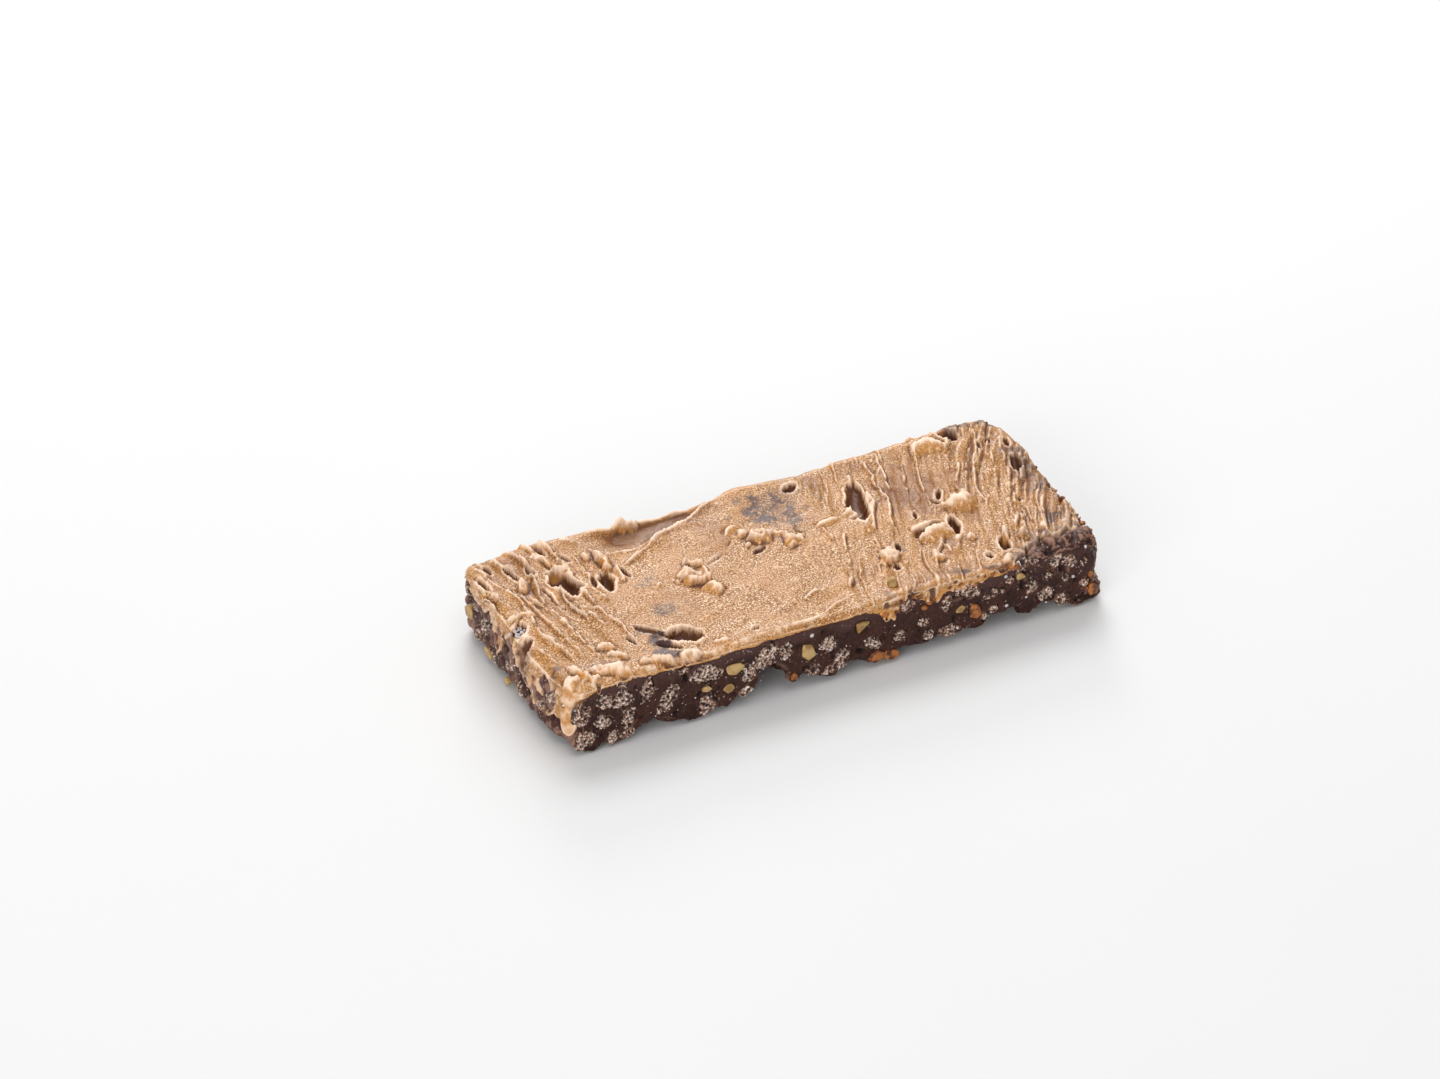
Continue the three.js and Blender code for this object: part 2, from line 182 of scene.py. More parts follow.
def underside(x, y):
    """Height of the slab's core over the table, with its arches between the feet."""
    height = CORE_LIFT + 0.35 * hills(flat(x, y), 9.0, 5)
    for place, span, rise in BACK_ARCHES:
        inward = (HALF_WIDTH - y) / ARCH_DEPTH
        height = height + rise * np.exp(-1.4 * (((x - place) / (span / 2)) ** 2 + (0.9 * inward) ** 2))
    in_notch = bell(((x - NOTCH) / 2.7) ** 2)
    depth = FEET_DEPTH + NOTCH_DEPTH * in_notch
    near_front = 1 - smooth(0.3 + 0.4 * in_notch, 1.0, (y + HALF_WIDTH) / depth)
    return height * (1 - near_front) + (along_list(x, FRONT_FEET) + 1.1) * near_front


# Working with meshes.


def places(mesh):
    """A mesh's points in millimetres."""
    flat_list = np.empty(len(mesh.vertices) * 3)
    mesh.vertices.foreach_get("co", flat_list)
    return flat_list.reshape(-1, 3) / MM


def put(mesh, points):
    """Moves a mesh's points to places in millimetres."""
    mesh.vertices.foreach_set("co", (points * MM).ravel())
    mesh.update()


def outward(mesh):
    """A mesh's vertex normals."""
    flat_list = np.empty(len(mesh.vertices) * 3)
    mesh.vertex_normals.foreach_get("vector", flat_list)
    return flat_list.reshape(-1, 3)


def stand_out(mesh, rounds):
    """How far each point stands out of what lies round it, in millimetres: negative in hollows."""
    ends = np.empty(len(mesh.edges) * 2, dtype=np.int32)
    mesh.edges.foreach_get("vertices", ends)
    one, other = ends.reshape(-1, 2).T
    count = len(mesh.vertices)
    neighbours = np.bincount(one, minlength=count) + np.bincount(other, minlength=count)
    points = places(mesh)
    even = points.copy()
    for _ in range(rounds):
        sums = []
        for axis in range(3):
            from_one = np.bincount(one, even[other, axis], count)
            sums.append(from_one + np.bincount(other, even[one, axis], count))
        even = np.column_stack(sums) / neighbours[:, None]
    return ((points - even) * outward(mesh)).sum(axis=1)


def mark(mesh, name, values):
    """Keeps a number for each point of a mesh, for its material to read."""
    layer = mesh.attributes.new(name, "FLOAT", "POINT")
    layer.data.foreach_set("value", np.asarray(values, dtype=np.float32))


def mesh_from(name, bm):
    """Makes a mesh of a bmesh, which is used up by it."""
    mesh = bpy.data.meshes.new(name)
    bm.to_mesh(mesh)
    bm.free()
    return mesh


def gather(whole, piece):
    """Adds a finished small shape to the mesh that holds all of its kind."""
    mesh = mesh_from("loose", piece)
    whole.from_mesh(mesh)
    bpy.data.meshes.remove(mesh)


def show(name, mesh, finish):
    """Puts a finished mesh into the scene as a piece of the bar."""
    mesh.materials.append(finish)
    mesh.polygons.foreach_set("use_smooth", [True] * len(mesh.polygons))
    piece = bpy.data.objects.new(name, mesh)
    bpy.context.scene.collection.objects.link(piece)
    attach(piece, "root")
    return piece


def skirted_grid(along, across, steps):
    """A grid from -1 to 1 at height 0, with its rim drawn down by 1 a step and closed underneath."""
    bm = bmesh.new()
    bmesh.ops.create_grid(bm, x_segments=along, y_segments=across, size=1)
    rim = [e for e in bm.edges if e.is_boundary]
    for _ in range(steps):
        made = bmesh.ops.extrude_edge_only(bm, edges=rim)["geom"]
        bmesh.ops.translate(bm, verts=[g for g in made if isinstance(g, bmesh.types.BMVert)], vec=(0, 0, -1))
        rim = [g for g in made if isinstance(g, bmesh.types.BMEdge) and g.is_boundary]
    bmesh.ops.contextual_create(bm, geom=rim)
    bmesh.ops.recalc_face_normals(bm, faces=bm.faces[:])
    return bm


# Materials.


def colour(hex_code):
    """An sRGB colour such as "b98d64" as linear red, green, blue and alpha."""
    channels = [int(hex_code[i : i + 2], 16) / 255 for i in (0, 2, 4)]
    return [c / 12.92 if c <= 0.04045 else ((c + 0.055) / 1.055) ** 2.4 for c in channels] + [1.0]


def per(millimetres):
    """The texture scale that repeats once in that many millimetres."""
    return 1 / (millimetres * MM)


def add(tree, kind, settings=None, sockets=None):
    """Adds a node with its settings. A socket given another node's output is linked to it."""
    node = tree.nodes.new(kind)
    for key, value in (settings or {}).items():
        setattr(node, key, value)
    for key, value in (sockets or {}).items():
        if isinstance(value, bpy.types.NodeSocket):
            tree.links.new(value, node.inputs[key])
        else:
            node.inputs[key].default_value = value
    return node


def new_finish(name):
    """An empty material, and the place of each point on the piece for its patterns."""
    finish = bpy.data.materials.new(name)
    finish.use_nodes = True
    tree = finish.node_tree
    tree.nodes.clear()
    spot = add(tree, "ShaderNodeTexCoord").outputs["Object"]
    return finish, tree, spot


def from_to(value, low, high, new_low=0.0, new_high=1.0):
    """The sockets of a Map Range node that spreads a value from one range to another."""
    return {"Value": value, "From Min": low, "From Max": high, "To Min": new_low, "To Max": new_high}


def layered(tree, ground, layers):
    """Lays colours over a ground colour. Each layer is its colour and its share, which is a pattern's value
    or the name of a number kept on the mesh. With two limits the share runs from 0 at the first to 1 at the
    second, or to the third value there."""
    tone = colour(ground)
    for hex_code, share, *limits in layers:
        if isinstance(share, str):
            share = add(tree, "ShaderNodeAttribute", {"attribute_name": share}).outputs["Fac"]
        if limits:
            low, high, top = (*limits, 1.0)[:3]
            share = add(tree, "ShaderNodeMapRange", sockets=from_to(share, low, high, 0.0, top)).outputs[0]
        mixed = {0: share, 6: tone, 7: colour(hex_code)}
        tone = add(tree, "ShaderNodeMix", {"data_type": "RGBA", "clamp_factor": True}, mixed).outputs[2]
    return tone


def shaded(tree, sockets):
    """Ends a material with its shader."""
    shader = add(tree, "ShaderNodeBsdfPrincipled", sockets=sockets)
    add(tree, "ShaderNodeOutputMaterial", sockets={"Surface": shader.outputs[0]})


# How far apart the fine patterns repeat. The grit of ground nuts, the grain of chocolate and the bubbles of
# starch and nut are finer than this, and are drawn as coarse as they need to show in the render.
GRIT = 0.27
CHOCOLATE_GRAIN = 0.6
FINE_BUBBLES = 0.4

# Clouds of tone in the cream, in the bloom on chocolate and in paper, and the crumbs and sugar facets.
CREAM_CLOUDS = 5.0
BLOOM_CLOUDS = 4.0
PAPER_CLOUDS = 60.0
CRUMB = 0.8
SUGAR_FACET = 0.6


def nut_cream_finish():
    """Ground nuts and cocoa butter, spread with a palette knife: satin, tan and slightly gritty, with pale
    specks that are partly grit and partly painted glints. Its crests and the lit sides of lumps and flaps get
    a painted highlight, and its hollows, pits and recess painted shade. It is golden at its rims, with golden
    painted shade on the shaded faces of lumps and flaps, deeper brown in patches, and dark where chocolate
    shows through."""
    finish, tree, spot = new_finish("spread nut cream")
    grit_size = {"Vector": spot, "Scale": per(GRIT), "Detail": 1.0}
    grit = add(tree, "ShaderNodeTexNoise", sockets=grit_size).outputs[0]
    cloud_size = {"Vector": spot, "Scale": per(CREAM_CLOUDS), "Detail": 4.0}
    cloud = add(tree, "ShaderNodeTexNoise", sockets=cloud_size).outputs[0]
    # Painted glints: how strong the pale specks are, cloud by cloud.
    glint = add(tree, "ShaderNodeMapRange", sockets=from_to(cloud, 0.42, 0.58, 1.0, 0.5)).outputs[0]
    tone = layered(tree, "ac7338", [
        ("be8446", cloud, 0.38, 0.62),
        ("6a3d1d", grit, 0.47, 0.34, 0.8),
        # Pale specks: partly pale grit, partly painted glints.
        ("f6d4a2", grit, 0.54, 0.68, glint),
        # Deeper brown: partly the cream's own tone, partly painted shade.
        ("80491a", "deep"),
        # Painted shade in hollows, pits and the recess behind the swoosh.
        ("5e3216", "hollow"),
        # Golden: the cream's own tone at its rims and drape, and painted shade on the shaded faces of lumps
        # and flaps and in the recess.
        ("d2903f", "warm"),
        # Painted highlight on crests and on the lit sides of lumps, ridges, flaps and the front lip.
        ("fddcc0", "crest"),
        ("54352c", "thin"),
    ])
    satin = add(tree, "ShaderNodeMapRange", sockets=from_to(grit, 0.35, 0.65, 0.55, 0.32)).outputs[0]
    relief = {"Height": grit, "Distance": 0.09 * MM, "Strength": 0.6}
    shaded(tree, {
        "Base Color": tone,
        "Roughness": satin,
        "Normal": add(tree, "ShaderNodeBump", sockets=relief).outputs[0],
        "IOR": 1.42,
        "Subsurface Weight": 0.06,
        "Subsurface Radius": (1.0, 0.5, 0.25),
        "Subsurface Scale": 0.6 * MM,
    })
    return finish


def chocolate_finish():
    """Dark chocolate cut with a knife: warm brown with a purplish bloom, half matt, with crumbs in it. Raised
    points get a painted highlight and hollows painted shade, and the purplish tone on the left end is a
    painted sheen.
    """
    finish, tree, spot = new_finish("cut dark chocolate")
    cloud_size = {"Vector": spot, "Scale": per(BLOOM_CLOUDS), "Detail": 4.0}
    cloud = add(tree, "ShaderNodeTexNoise", sockets=cloud_size).outputs[0]
    fine_size = {"Vector": spot, "Scale": per(CHOCOLATE_GRAIN), "Detail": 4.0}
    fine = add(tree, "ShaderNodeTexNoise", sockets=fine_size).outputs[0]
    crumb_size = {"Vector": spot, "Scale": per(CRUMB)}
    from_crumb = add(tree, "ShaderNodeTexVoronoi", sockets=crumb_size).outputs["Distance"]
    near = add(tree, "ShaderNodeMapRange", sockets=from_to(from_crumb, 0.26, 0.12)).outputs[0]
    rough = add(tree, "ShaderNodeAttribute", {"attribute_name": "rough"}).outputs["Fac"]
    crumb = add(tree, "ShaderNodeMath", {"operation": "MULTIPLY"}, {0: near, 1: rough}).outputs[0]
    tone = layered(tree, "2e140d", [
        ("412017", cloud, 0.38, 0.62),
        # Bloom, and on the left end a painted sheen.
        ("4a2e2a", "bloom"),
        ("5e4438", fine, 0.52, 0.70, 0.5),
        ("c8b2a6", crumb),
        # Painted highlight on raised points, and pale smears of cream on the left end.
        ("9a7462", "crest"),
        # Painted shade in hollows.
        ("160a08", "hollow"),
    ])
    half_matt = add(tree, "ShaderNodeMapRange", sockets=from_to(fine, 0.3, 0.7, 0.42, 0.62)).outputs[0]
    relief = {"Height": fine, "Distance": 0.25 * MM, "Strength": 0.6}
    shaded(tree, {
        "Base Color": tone,
        "Roughness": half_matt,
        "Normal": add(tree, "ShaderNodeBump", sockets=relief).outputs[0],
        "IOR": 1.3,
    })
    return finish


def crisped_rice_finish():
    """Puffed rice broken open: pale starch foam, browner where it is toasted, with painted shade in its open
    bubbles and dark chocolate at its rim. Fine dark specks are painted shade in the finest bubbles, and fine
    pale specks partly white starch and partly painted highlight. The finest bubbles are drawn as coarse as
    they need to show in the render."""
    finish, tree, spot = new_finish("puffed rice foam")
    bubble_size = {"Vector": spot, "Scale": per(FINE_BUBBLES), "Detail": 3.0}
    fine = add(tree, "ShaderNodeTexNoise", sockets=bubble_size).outputs[0]
    tone = layered(tree, "d2ae98", [
        ("aa775a", "toast"),
        # Fine dark specks: painted shade in the finest bubbles.
        ("46291e", fine, 0.50, 0.40, 0.85),
        # Fine pale specks: partly white starch, partly painted highlight.
        ("fdf0e6", fine, 0.52, 0.62, 0.9),
        # Painted shade in the open bubbles, and dark chocolate at the rim.
        ("2c150e", "hollow"),
    ])
    relief = {"Height": fine, "Distance": 0.2 * MM, "Strength": 0.8}
    bumps = add(tree, "ShaderNodeBump", sockets=relief).outputs[0]
    shaded(tree, {"Base Color": tone, "Roughness": 0.5, "Normal": bumps, "IOR": 1.45})
    return finish


def nut_finish(name, pale, deep, patch_size):
    """Roasted nut, chopped: waxy cut faces, creamy in the middle and deeper towards the skin."""
    finish, tree, spot = new_finish(name)
    cloud_size = {"Vector": spot, "Scale": per(patch_size), "Detail": 4.0}
    cloud = add(tree, "ShaderNodeTexNoise", sockets=cloud_size).outputs[0]
    fine_size = {"Vector": spot, "Scale": per(FINE_BUBBLES), "Detail": 2.0}
    fine = add(tree, "ShaderNodeTexNoise", sockets=fine_size).outputs[0]
    relief = {"Height": fine, "Distance": 0.15 * MM, "Strength": 0.5}
    bumps = add(tree, "ShaderNodeBump", sockets=relief).outputs[0]
    tone = layered(tree, pale, [(deep, cloud, 0.44, 0.6)])
    shaded(tree, {"Base Color": tone, "Roughness": 0.45, "Normal": bumps, "IOR": 1.45})
    return finish


def sugar_finish():
    """Sugar crystals: white with greyer faces, and sharp glints."""
    finish, tree, spot = new_finish("sugar crystals")
    facet_size = {"Vector": spot, "Scale": per(SUGAR_FACET)}
    fine = add(tree, "ShaderNodeTexNoise", sockets=facet_size).outputs[0]
    tone = layered(tree, "e2dcda", [("b4a8ac", fine)])
    shaded(tree, {"Base Color": tone, "Roughness": 0.3, "IOR": 1.54})
    return finish


def paper_finish():
    """Matt white paper under the bar, with barely a change of tone over it."""
    finish, tree, spot = new_finish("matt white paper")
    cloud_size = {"Vector": spot, "Scale": per(PAPER_CLOUDS)}
    fibres = add(tree, "ShaderNodeTexNoise", sockets=cloud_size).outputs[0]
    tone = layered(tree, "e8e8e8", [("eaeaea", fibres)])
    shaded(tree, {"Base Color": tone, "Roughness": 0.9})
    return finish


# Pieces that the knife opened in the long faces, as place along the bar, height, length, thickness and turn
# in degrees from level. Grains also have how toasted they are, and nuts the number of their corners.
FRONT_GRAINS = [
    (-44.5, 9.7, 3.9, 3.1, -25, 0.1),
    (-41.2, 9.0, 4.6, 3.7, -15, 0.1),
    (-48.4, 8.0, 4.6, 3.2, 75, 0.9),
    (-44.8, 5.7, 3.6, 3.3, -10, 0.0),
    (-40.0, 4.9, 4.3, 3.3, 80, 0.5),
    (-36.5, 9.4, 5.6, 2.8, 85, 0.3),
    (-32.8, 6.5, 6.6, 3.3, 55, 0.4),
    (-25.9, 9.2, 5.8, 4.1, -8, 0.1),
    (-47.9, 3.2, 4.4, 3.4, 20, 0.5),
    (-43.0, 1.9, 3.0, 2.2, 80, 0.2),
    (-40.4, 1.8, 3.2, 2.0, 10, 0.9),
    (-41.0, 12.1, 2.6, 1.5, -20, 0.7),
    (-32.2, 12.1, 1.8, 1.2, 30, 0.5),
    (-30.1, 11.2, 1.9, 1.3, 0, 0.5),
    (-25.4, 3.2, 4.4, 3.8, 60, 0.8),
    (-17.9, 6.6, 4.4, 3.0, 70, 0.3),
    (-15.0, 9.1, 5.4, 3.8, 50, 0.35),
    (-11.2, 9.2, 3.8, 3.0, 75, 0.3),
    (-3.1, 7.9, 3.8, 3.2, -30, 0.1),
    (-0.6, 4.3, 4.8, 2.6, 75, 0.4),
    (-5.8, 3.6, 3.2, 2.5, 10, 0.8),
    (-2.8, 2.6, 2.8, 2.0, 20, 0.7),
    (5.4, 5.4, 4.2, 2.7, -25, 0.2),
    (10.5, 5.4, 3.2, 2.2, 15, 0.4),
    (16.0, 3.6, 2.8, 2.2, 70, 0.1),
    (19.4, 9.2, 3.6, 2.3, 80, 1.0),
    (11.8, 11.2, 3.8, 2.6, 10, 0.9),
    (23.2, 10.8, 4.6, 2.6, 5, 1.0),
    (24.6, 9.6, 4.2, 1.8, -5, 0.1),
    (20.2, 3.2, 5.4, 2.8, -5, 0.8),
    (31.6, 10.0, 2.2, 1.4, 50, 0.2),
    (36.1, 7.4, 3.3, 2.4, 70, 0.3),
    (38.6, 5.0, 3.8, 2.9, 10, 0.6),
    (40.5, 11.2, 3.0, 2.5, 20, 0.0),
    (43.2, 10.4, 3.4, 2.6, -40, 0.7),
    (39.4, 8.6, 1.9, 1.4, 0, 0.4),
    (33.9, 12.2, 2.6, 2.0, 30, 0.8),
    (42.2, 3.0, 3.0, 1.8, 75, 0.6),
    (28.0, 8.4, 3.6, 2.2, 20, 0.7),
    (15.0, 6.6, 2.6, 1.8, -30, 0.8),
    (28.6, 5.1, 2.2, 1.9, 20, 0.0),
    (30.0, 8.4, 1.8, 1.4, 60, 0.1),
    (42.7, 7.2, 1.6, 2.0, -20, 0.0),
    (-18.6, 3.2, 3.0, 2.0, 10, 0.6),
    (46.6, 5.0, 2.4, 1.8, 60, 0.9),
    (36.4, 12.4, 2.2, 1.3, -15, 0.9),
    (46.2, 9.6, 2.0, 1.4, 70, 0.9),
    (26.8, 4.0, 2.2, 1.4, -30, 0.5),
]
FRONT_NUTS = [
    (-20.6, 8.4, 4.4, 2.9, -8, 5),
    (-21.6, 4.9, 2.3, 2.1, 0, 6),
    (-25.8, 6.1, 2.4, 1.4, -12, 5),
    (-6.7, 7.3, 4.7, 2.8, 118, 5),
    (3.4, 9.3, 3.2, 4.2, -95, 3),
    (22.1, 6.9, 2.3, 1.8, 10, 5),
    (33.8, 10.0, 2.8, 2.0, -25, 4),
]
FRONT_ROASTED = [
    (25.1, 5.7, 4.0, 2.7, 108, 6),
    (6.1, 2.4, 3.7, 2.6, 10, 6),
    (9.0, 1.9, 3.4, 2.4, -20, 6),
    (-9.5, 3.2, 1.9, 1.6, 80, 5),
    (48.4, 3.0, 2.4, 3.2, 10, 6),
    (47.9, 6.0, 1.5, 2.2, 20, 5),
    (46.8, 3.4, 1.5, 1.3, 0, 5),
]

# Holes between the pieces, as place, height, length, thickness, turn and depth.
FRONT_HOLES = [
    (-12.4, 5.0, 5.2, 2.6, -50, 2.2),
    (-29.6, 9.8, 3.4, 1.1, -60, 0.9),
    (42.2, 9.4, 2.4, 3.6, 20, 1.0),
    (34.2, 8.2, 1.4, 2.6, 10, 0.8),
    (44.4, 6.0, 3.2, 4.0, 10, 0.5),
    (-49.6, 10.2, 2.0, 1.4, 20, 0.7),
    (21.8, 9.8, 3.6, 1.0, 0, 0.9),
    (26.4, 12.0, 1.6, 1.0, -20, 0.7),
    (-7.6, 3.0, 3.0, 1.0, -20, 0.7),
    (3.0, 4.4, 2.6, 1.4, -35, 0.9),
    (17.0, 11.0, 0.9, 2.2, -10, 0.6),
    (40.6, 3.0, 2.0, 2.4, 0, 0.8),
    (-48.1, 1.6, 2.4, 1.2, 20, 0.8),
    (46.4, 1.8, 3.4, 0.8, -10, 0.6),
]


# Heights of the rows of open grains in the back face, and in the right end.
BACK_ROWS = (4.6, 8.6)
RIGHT_ROWS = (4.4, 8.4)


def back_face_grains():
    """Open grains along the back face, in two uneven rows, raised where the underside arches."""
    grains = []
    for row, height in enumerate(BACK_ROWS):
        x = -48 + row * 2.6
        while x < 50:
            long = GRAIN_LENGTH * random.uniform(0.6, 0.95)
            high = GRAIN_THICKNESS * random.uniform(0.75, 1.05)
            arch = underside(np.array([x]), np.array([HALF_WIDTH]))[0] - CORE_LIFT
            lift = max(0.0, arch - 0.4)
            level = min(height + lift * (0.9 - 0.5 * row) + random.uniform(-0.7, 0.7), 10.2)
            grains.append((x, level, long, high, random.uniform(-80, 80), random.random()))
            x += random.uniform(4.6, 6.2)
    return grains


BACK_GRAINS = back_face_grains()
BACK_NUTS = [
    (-38.0, 7.2, 4.2, 2.8, 20, 5),
    (-14.6, 6.2, 2.6, 2.0, -30, 4),
    (2.4, 9.2, 3.6, 2.4, 60, 4),
    (16.0, 6.6, 4.4, 3.0, 0, 5),
    (40.6, 6.4, 3.0, 2.6, -50, 4),
]

# Grains in the broken left end, as place across the bar, height, length, thickness, turn and toast.
LEFT_GRAINS = [
    (-17.6, 9.6, 3.4, 2.4, 60, 0.7),
    (-13.6, 7.6, 4.8, 2.8, -50, 0.3),
    (-10.2, 4.6, 4.4, 2.6, -55, 0.2),
    (-6.6, 2.6, 3.6, 2.4, -30, 0.6),
    (-2.8, 2.4, 4.0, 2.6, 10, 0.2),
    (-0.6, 6.8, 4.2, 2.8, -60, 0.6),
    (1.6, 4.6, 3.8, 2.6, -40, 0.3),
    (7.4, 2.6, 3.4, 2.4, 30, 0.8),
    (11.4, 6.4, 4.4, 3.0, -60, 0.0),
    (14.4, 8.6, 3.4, 2.6, -30, 0.4),
    (14.6, 2.8, 3.8, 2.6, 20, 0.5),
    (18.0, 9.6, 3.2, 2.4, 40, 0.7),
]
LEFT_NUTS = [(17.4, 5.6, 4.4, 3.0, -30, 5), (9.6, 2.2, 3.2, 1.9, 10, 5), (2.2, 1.2, 2.4, 1.6, 0, 4)]


def seat(x, z, piece, sharp=(0.6, 0.95)):
    """The hollow that a piece has in a cut face: 1 well inside its outline, 0 outside."""
    place, height, long, high, turn = piece[:5]
    cos, sin = math.cos(math.radians(turn)), math.sin(math.radians(turn))
    along = ((x - place) * cos + (z - height) * sin) / (long / 2)
    across = ((z - height) * cos - (x - place) * sin) / (high / 2)
    return 1 - smooth(*sharp, np.hypot(along, across))


# The lower rim of the cream along the front face, as place along the bar and height.
FRONT_RIM = [
    (-49.5, 7), (-48.7, 10.4), (-47.4, 12), (-45.5, 12.6), (-40, 12.9), (-36, 12.7), (-30, 12.3),
    (-25, 12.1), (-15, 12.3), (-5, 12.3), (3, 12.2), (5.6, 11.6), (6.8, 10.4), (7.6, 9.5), (9.4, 9),
    (10.2, 10.8), (11, 12), (13.4, 12.3), (14.4, 11), (15.4, 9.3), (16.8, 8.9), (17.6, 10.4),
    (18.6, 11.7), (20.4, 11.4), (21.6, 10.6), (25, 10.5), (26.4, 11.9), (30, 12.1), (33, 12.6),
    (50, 12.4),
]

# The slab: a core with chocolate-coated grains melted on to it.

# The core's cuts along each edge, and how fine the melted skin is, which keeps it under 200,000 triangles.
CORE_CUTS = 70
VOXEL = 0.41


def turned(place, sizes, angles):
    """A matrix that gives a unit ball its sizes, turns it and puts it in place."""
    return Matrix.LocRotScale(Vector(place), Euler(angles), Vector(sizes))


def core_form(raw):
    """Gives a cube from -1 to 1 the slab's outline and its arched underside."""
    y = raw[:, 1] * (HALF_WIDTH + 0.2)
    left, right = along_list(y, LEFT_END) + 0.9, along_list(y, RIGHT_END) - 0.9
    x = left + (right - left) * (raw[:, 0] + 1) / 2
    bottom = underside(x, y)
    top = SLAB_TOP + (along_list(x, FRONT_RIM) + 0.2 - SLAB_TOP) * bell((y + HALF_WIDTH) / 1.1)
    z = bottom + (np.maximum(top, SLAB_TOP - 1) - bottom) * (raw[:, 2] + 1) / 2
    return np.column_stack([x, y, z])


def coated_grain(bm, place, size=1.0, angles=None):
    """One grain under its coat of chocolate, as a smooth ball to be melted into the slab."""
    long, thick = GRAIN_LENGTH * size, GRAIN_THICKNESS * size * random.uniform(0.9, 1.15)
    angles = angles or [random.uniform(-0.5, 0.5), random.uniform(-0.5, 0.5), random.uniform(0, math.pi)]
    matrix = turned(place, (long, thick, thick), angles)
    bmesh.ops.create_icosphere(bm, subdivisions=3, radius=0.5, matrix=matrix)


def underside_grains(bm):
    """Grains all over the underside. The lowest of them are the feet that the bar stands on."""
    for row in range(int((WIDTH - 3) / ROW_PITCH) + 1):
        y = -HALF_WIDTH + 1.8 + row * ROW_PITCH
        x = along_list(y, LEFT_END) + 2.6 + (row % 2) * GRAIN_PITCH / 2
        while x < along_list(y, RIGHT_END) - 2:
            at_x, at_y = x + random.uniform(-0.9, 0.9), y + random.uniform(-0.7, 0.7)
            lift = underside(np.array([at_x]), np.array([at_y]))[0]
            if lift < HIGH_ARCH:
                place = (at_x, at_y, lift + random.uniform(-0.1, 0.5))
                coated_grain(bm, place, random.uniform(0.8, 1.12))
            x += GRAIN_PITCH


def end_grains(bm, side, ends):
    """Grains that stand out of a broken end: a little further at the lower left, and sunk in at the right end
    beside the bank."""
    for row, height in enumerate(END_ROWS):
        y = -HALF_WIDTH + 2.0 + (row % 2) * 1.8
        while y < HALF_WIDTH - 1.2:
            size = random.uniform(0.75, 1.05)
            sunk = random.uniform(-0.25, 0.35) - (0.4 if side < 0 and row < 2 else 0)
            sunk += 1.6 if side > 0 and row > 0 and y < -15 else 0
            x = along_list(y, ends) - side * (GRAIN_THICKNESS * size / 2 + sunk)
            tilt, roll = random.uniform(-0.9, 0.9), random.uniform(-0.3, 0.3)
            angles = [tilt, roll, math.pi / 2 + random.uniform(-0.4, 0.4)]
            coated_grain(bm, (x, y, height + random.uniform(-0.5, 0.6)), size, angles)
            y += END_PITCH


# The foot under the front right corner: its place and sizes.
CORNER_FOOT = (48.2, -18.6, 2.1)
CORNER_FOOT_SIZES = (5.6, 5.0, 4.4)

# The bank of bare chocolate at the front right corner: place, top, length and depth of each lump, and the
# line behind it where the cream starts.
BANK = [
    (34.6, -19.6, 12.6, 4.6, 4.4),
    (37.4, -18.9, 13.3, 5.4, 5.6),
    (40.4, -18.2, 13.9, 6.4, 7.0),
    (43.8, -18.1, 14.1, 6.0, 7.2),
    (46.6, -18.0, 13.7, 5.4, 6.6),
    (48.6, -16.4, 12.9, 3.8, 6.2),
]
BANK_LINE = [
    (31.5, -22.5), (33, -20.2), (34.5, -18.6), (37, -17), (40, -15.4), (44, -15.2), (47, -15.8),
    (51, -12.6),
]


def bank_lumps(bm):
    """The lumps of the bank, and the foot under it."""
    sunk = SLAB_TOP - 3.4
    lumps = []
    for x, y, top, long, deep in BANK:
        lumps.append(turned((x, y, sunk), (long, deep, 2 * (top - sunk)), (0.1, 0.05, 0.1)))
    lumps.append(turned(CORNER_FOOT, CORNER_FOOT_SIZES, (0, 0, 0)))
    for matrix in lumps:
        bmesh.ops.create_icosphere(bm, subdivisions=4, radius=0.5, matrix=matrix)


def melted(bm, voxel):
    """Melts the overlapping shapes of a mesh into one skin."""
    mesh = mesh_from("melting", bm)
    mesh.transform(Matrix.Scale(MM, 4))
    source = bpy.data.objects.new("melting", mesh)
    bpy.context.scene.collection.objects.link(source)
    melt = source.modifiers.new("melt", "REMESH")
    melt.mode = "VOXEL"
    melt.voxel_size = voxel * MM
    skin = bpy.data.meshes.new_from_object(source.evaluated_get(bpy.context.evaluated_depsgraph_get()))
    bpy.data.objects.remove(source)
    bpy.data.meshes.remove(mesh)
    return skin


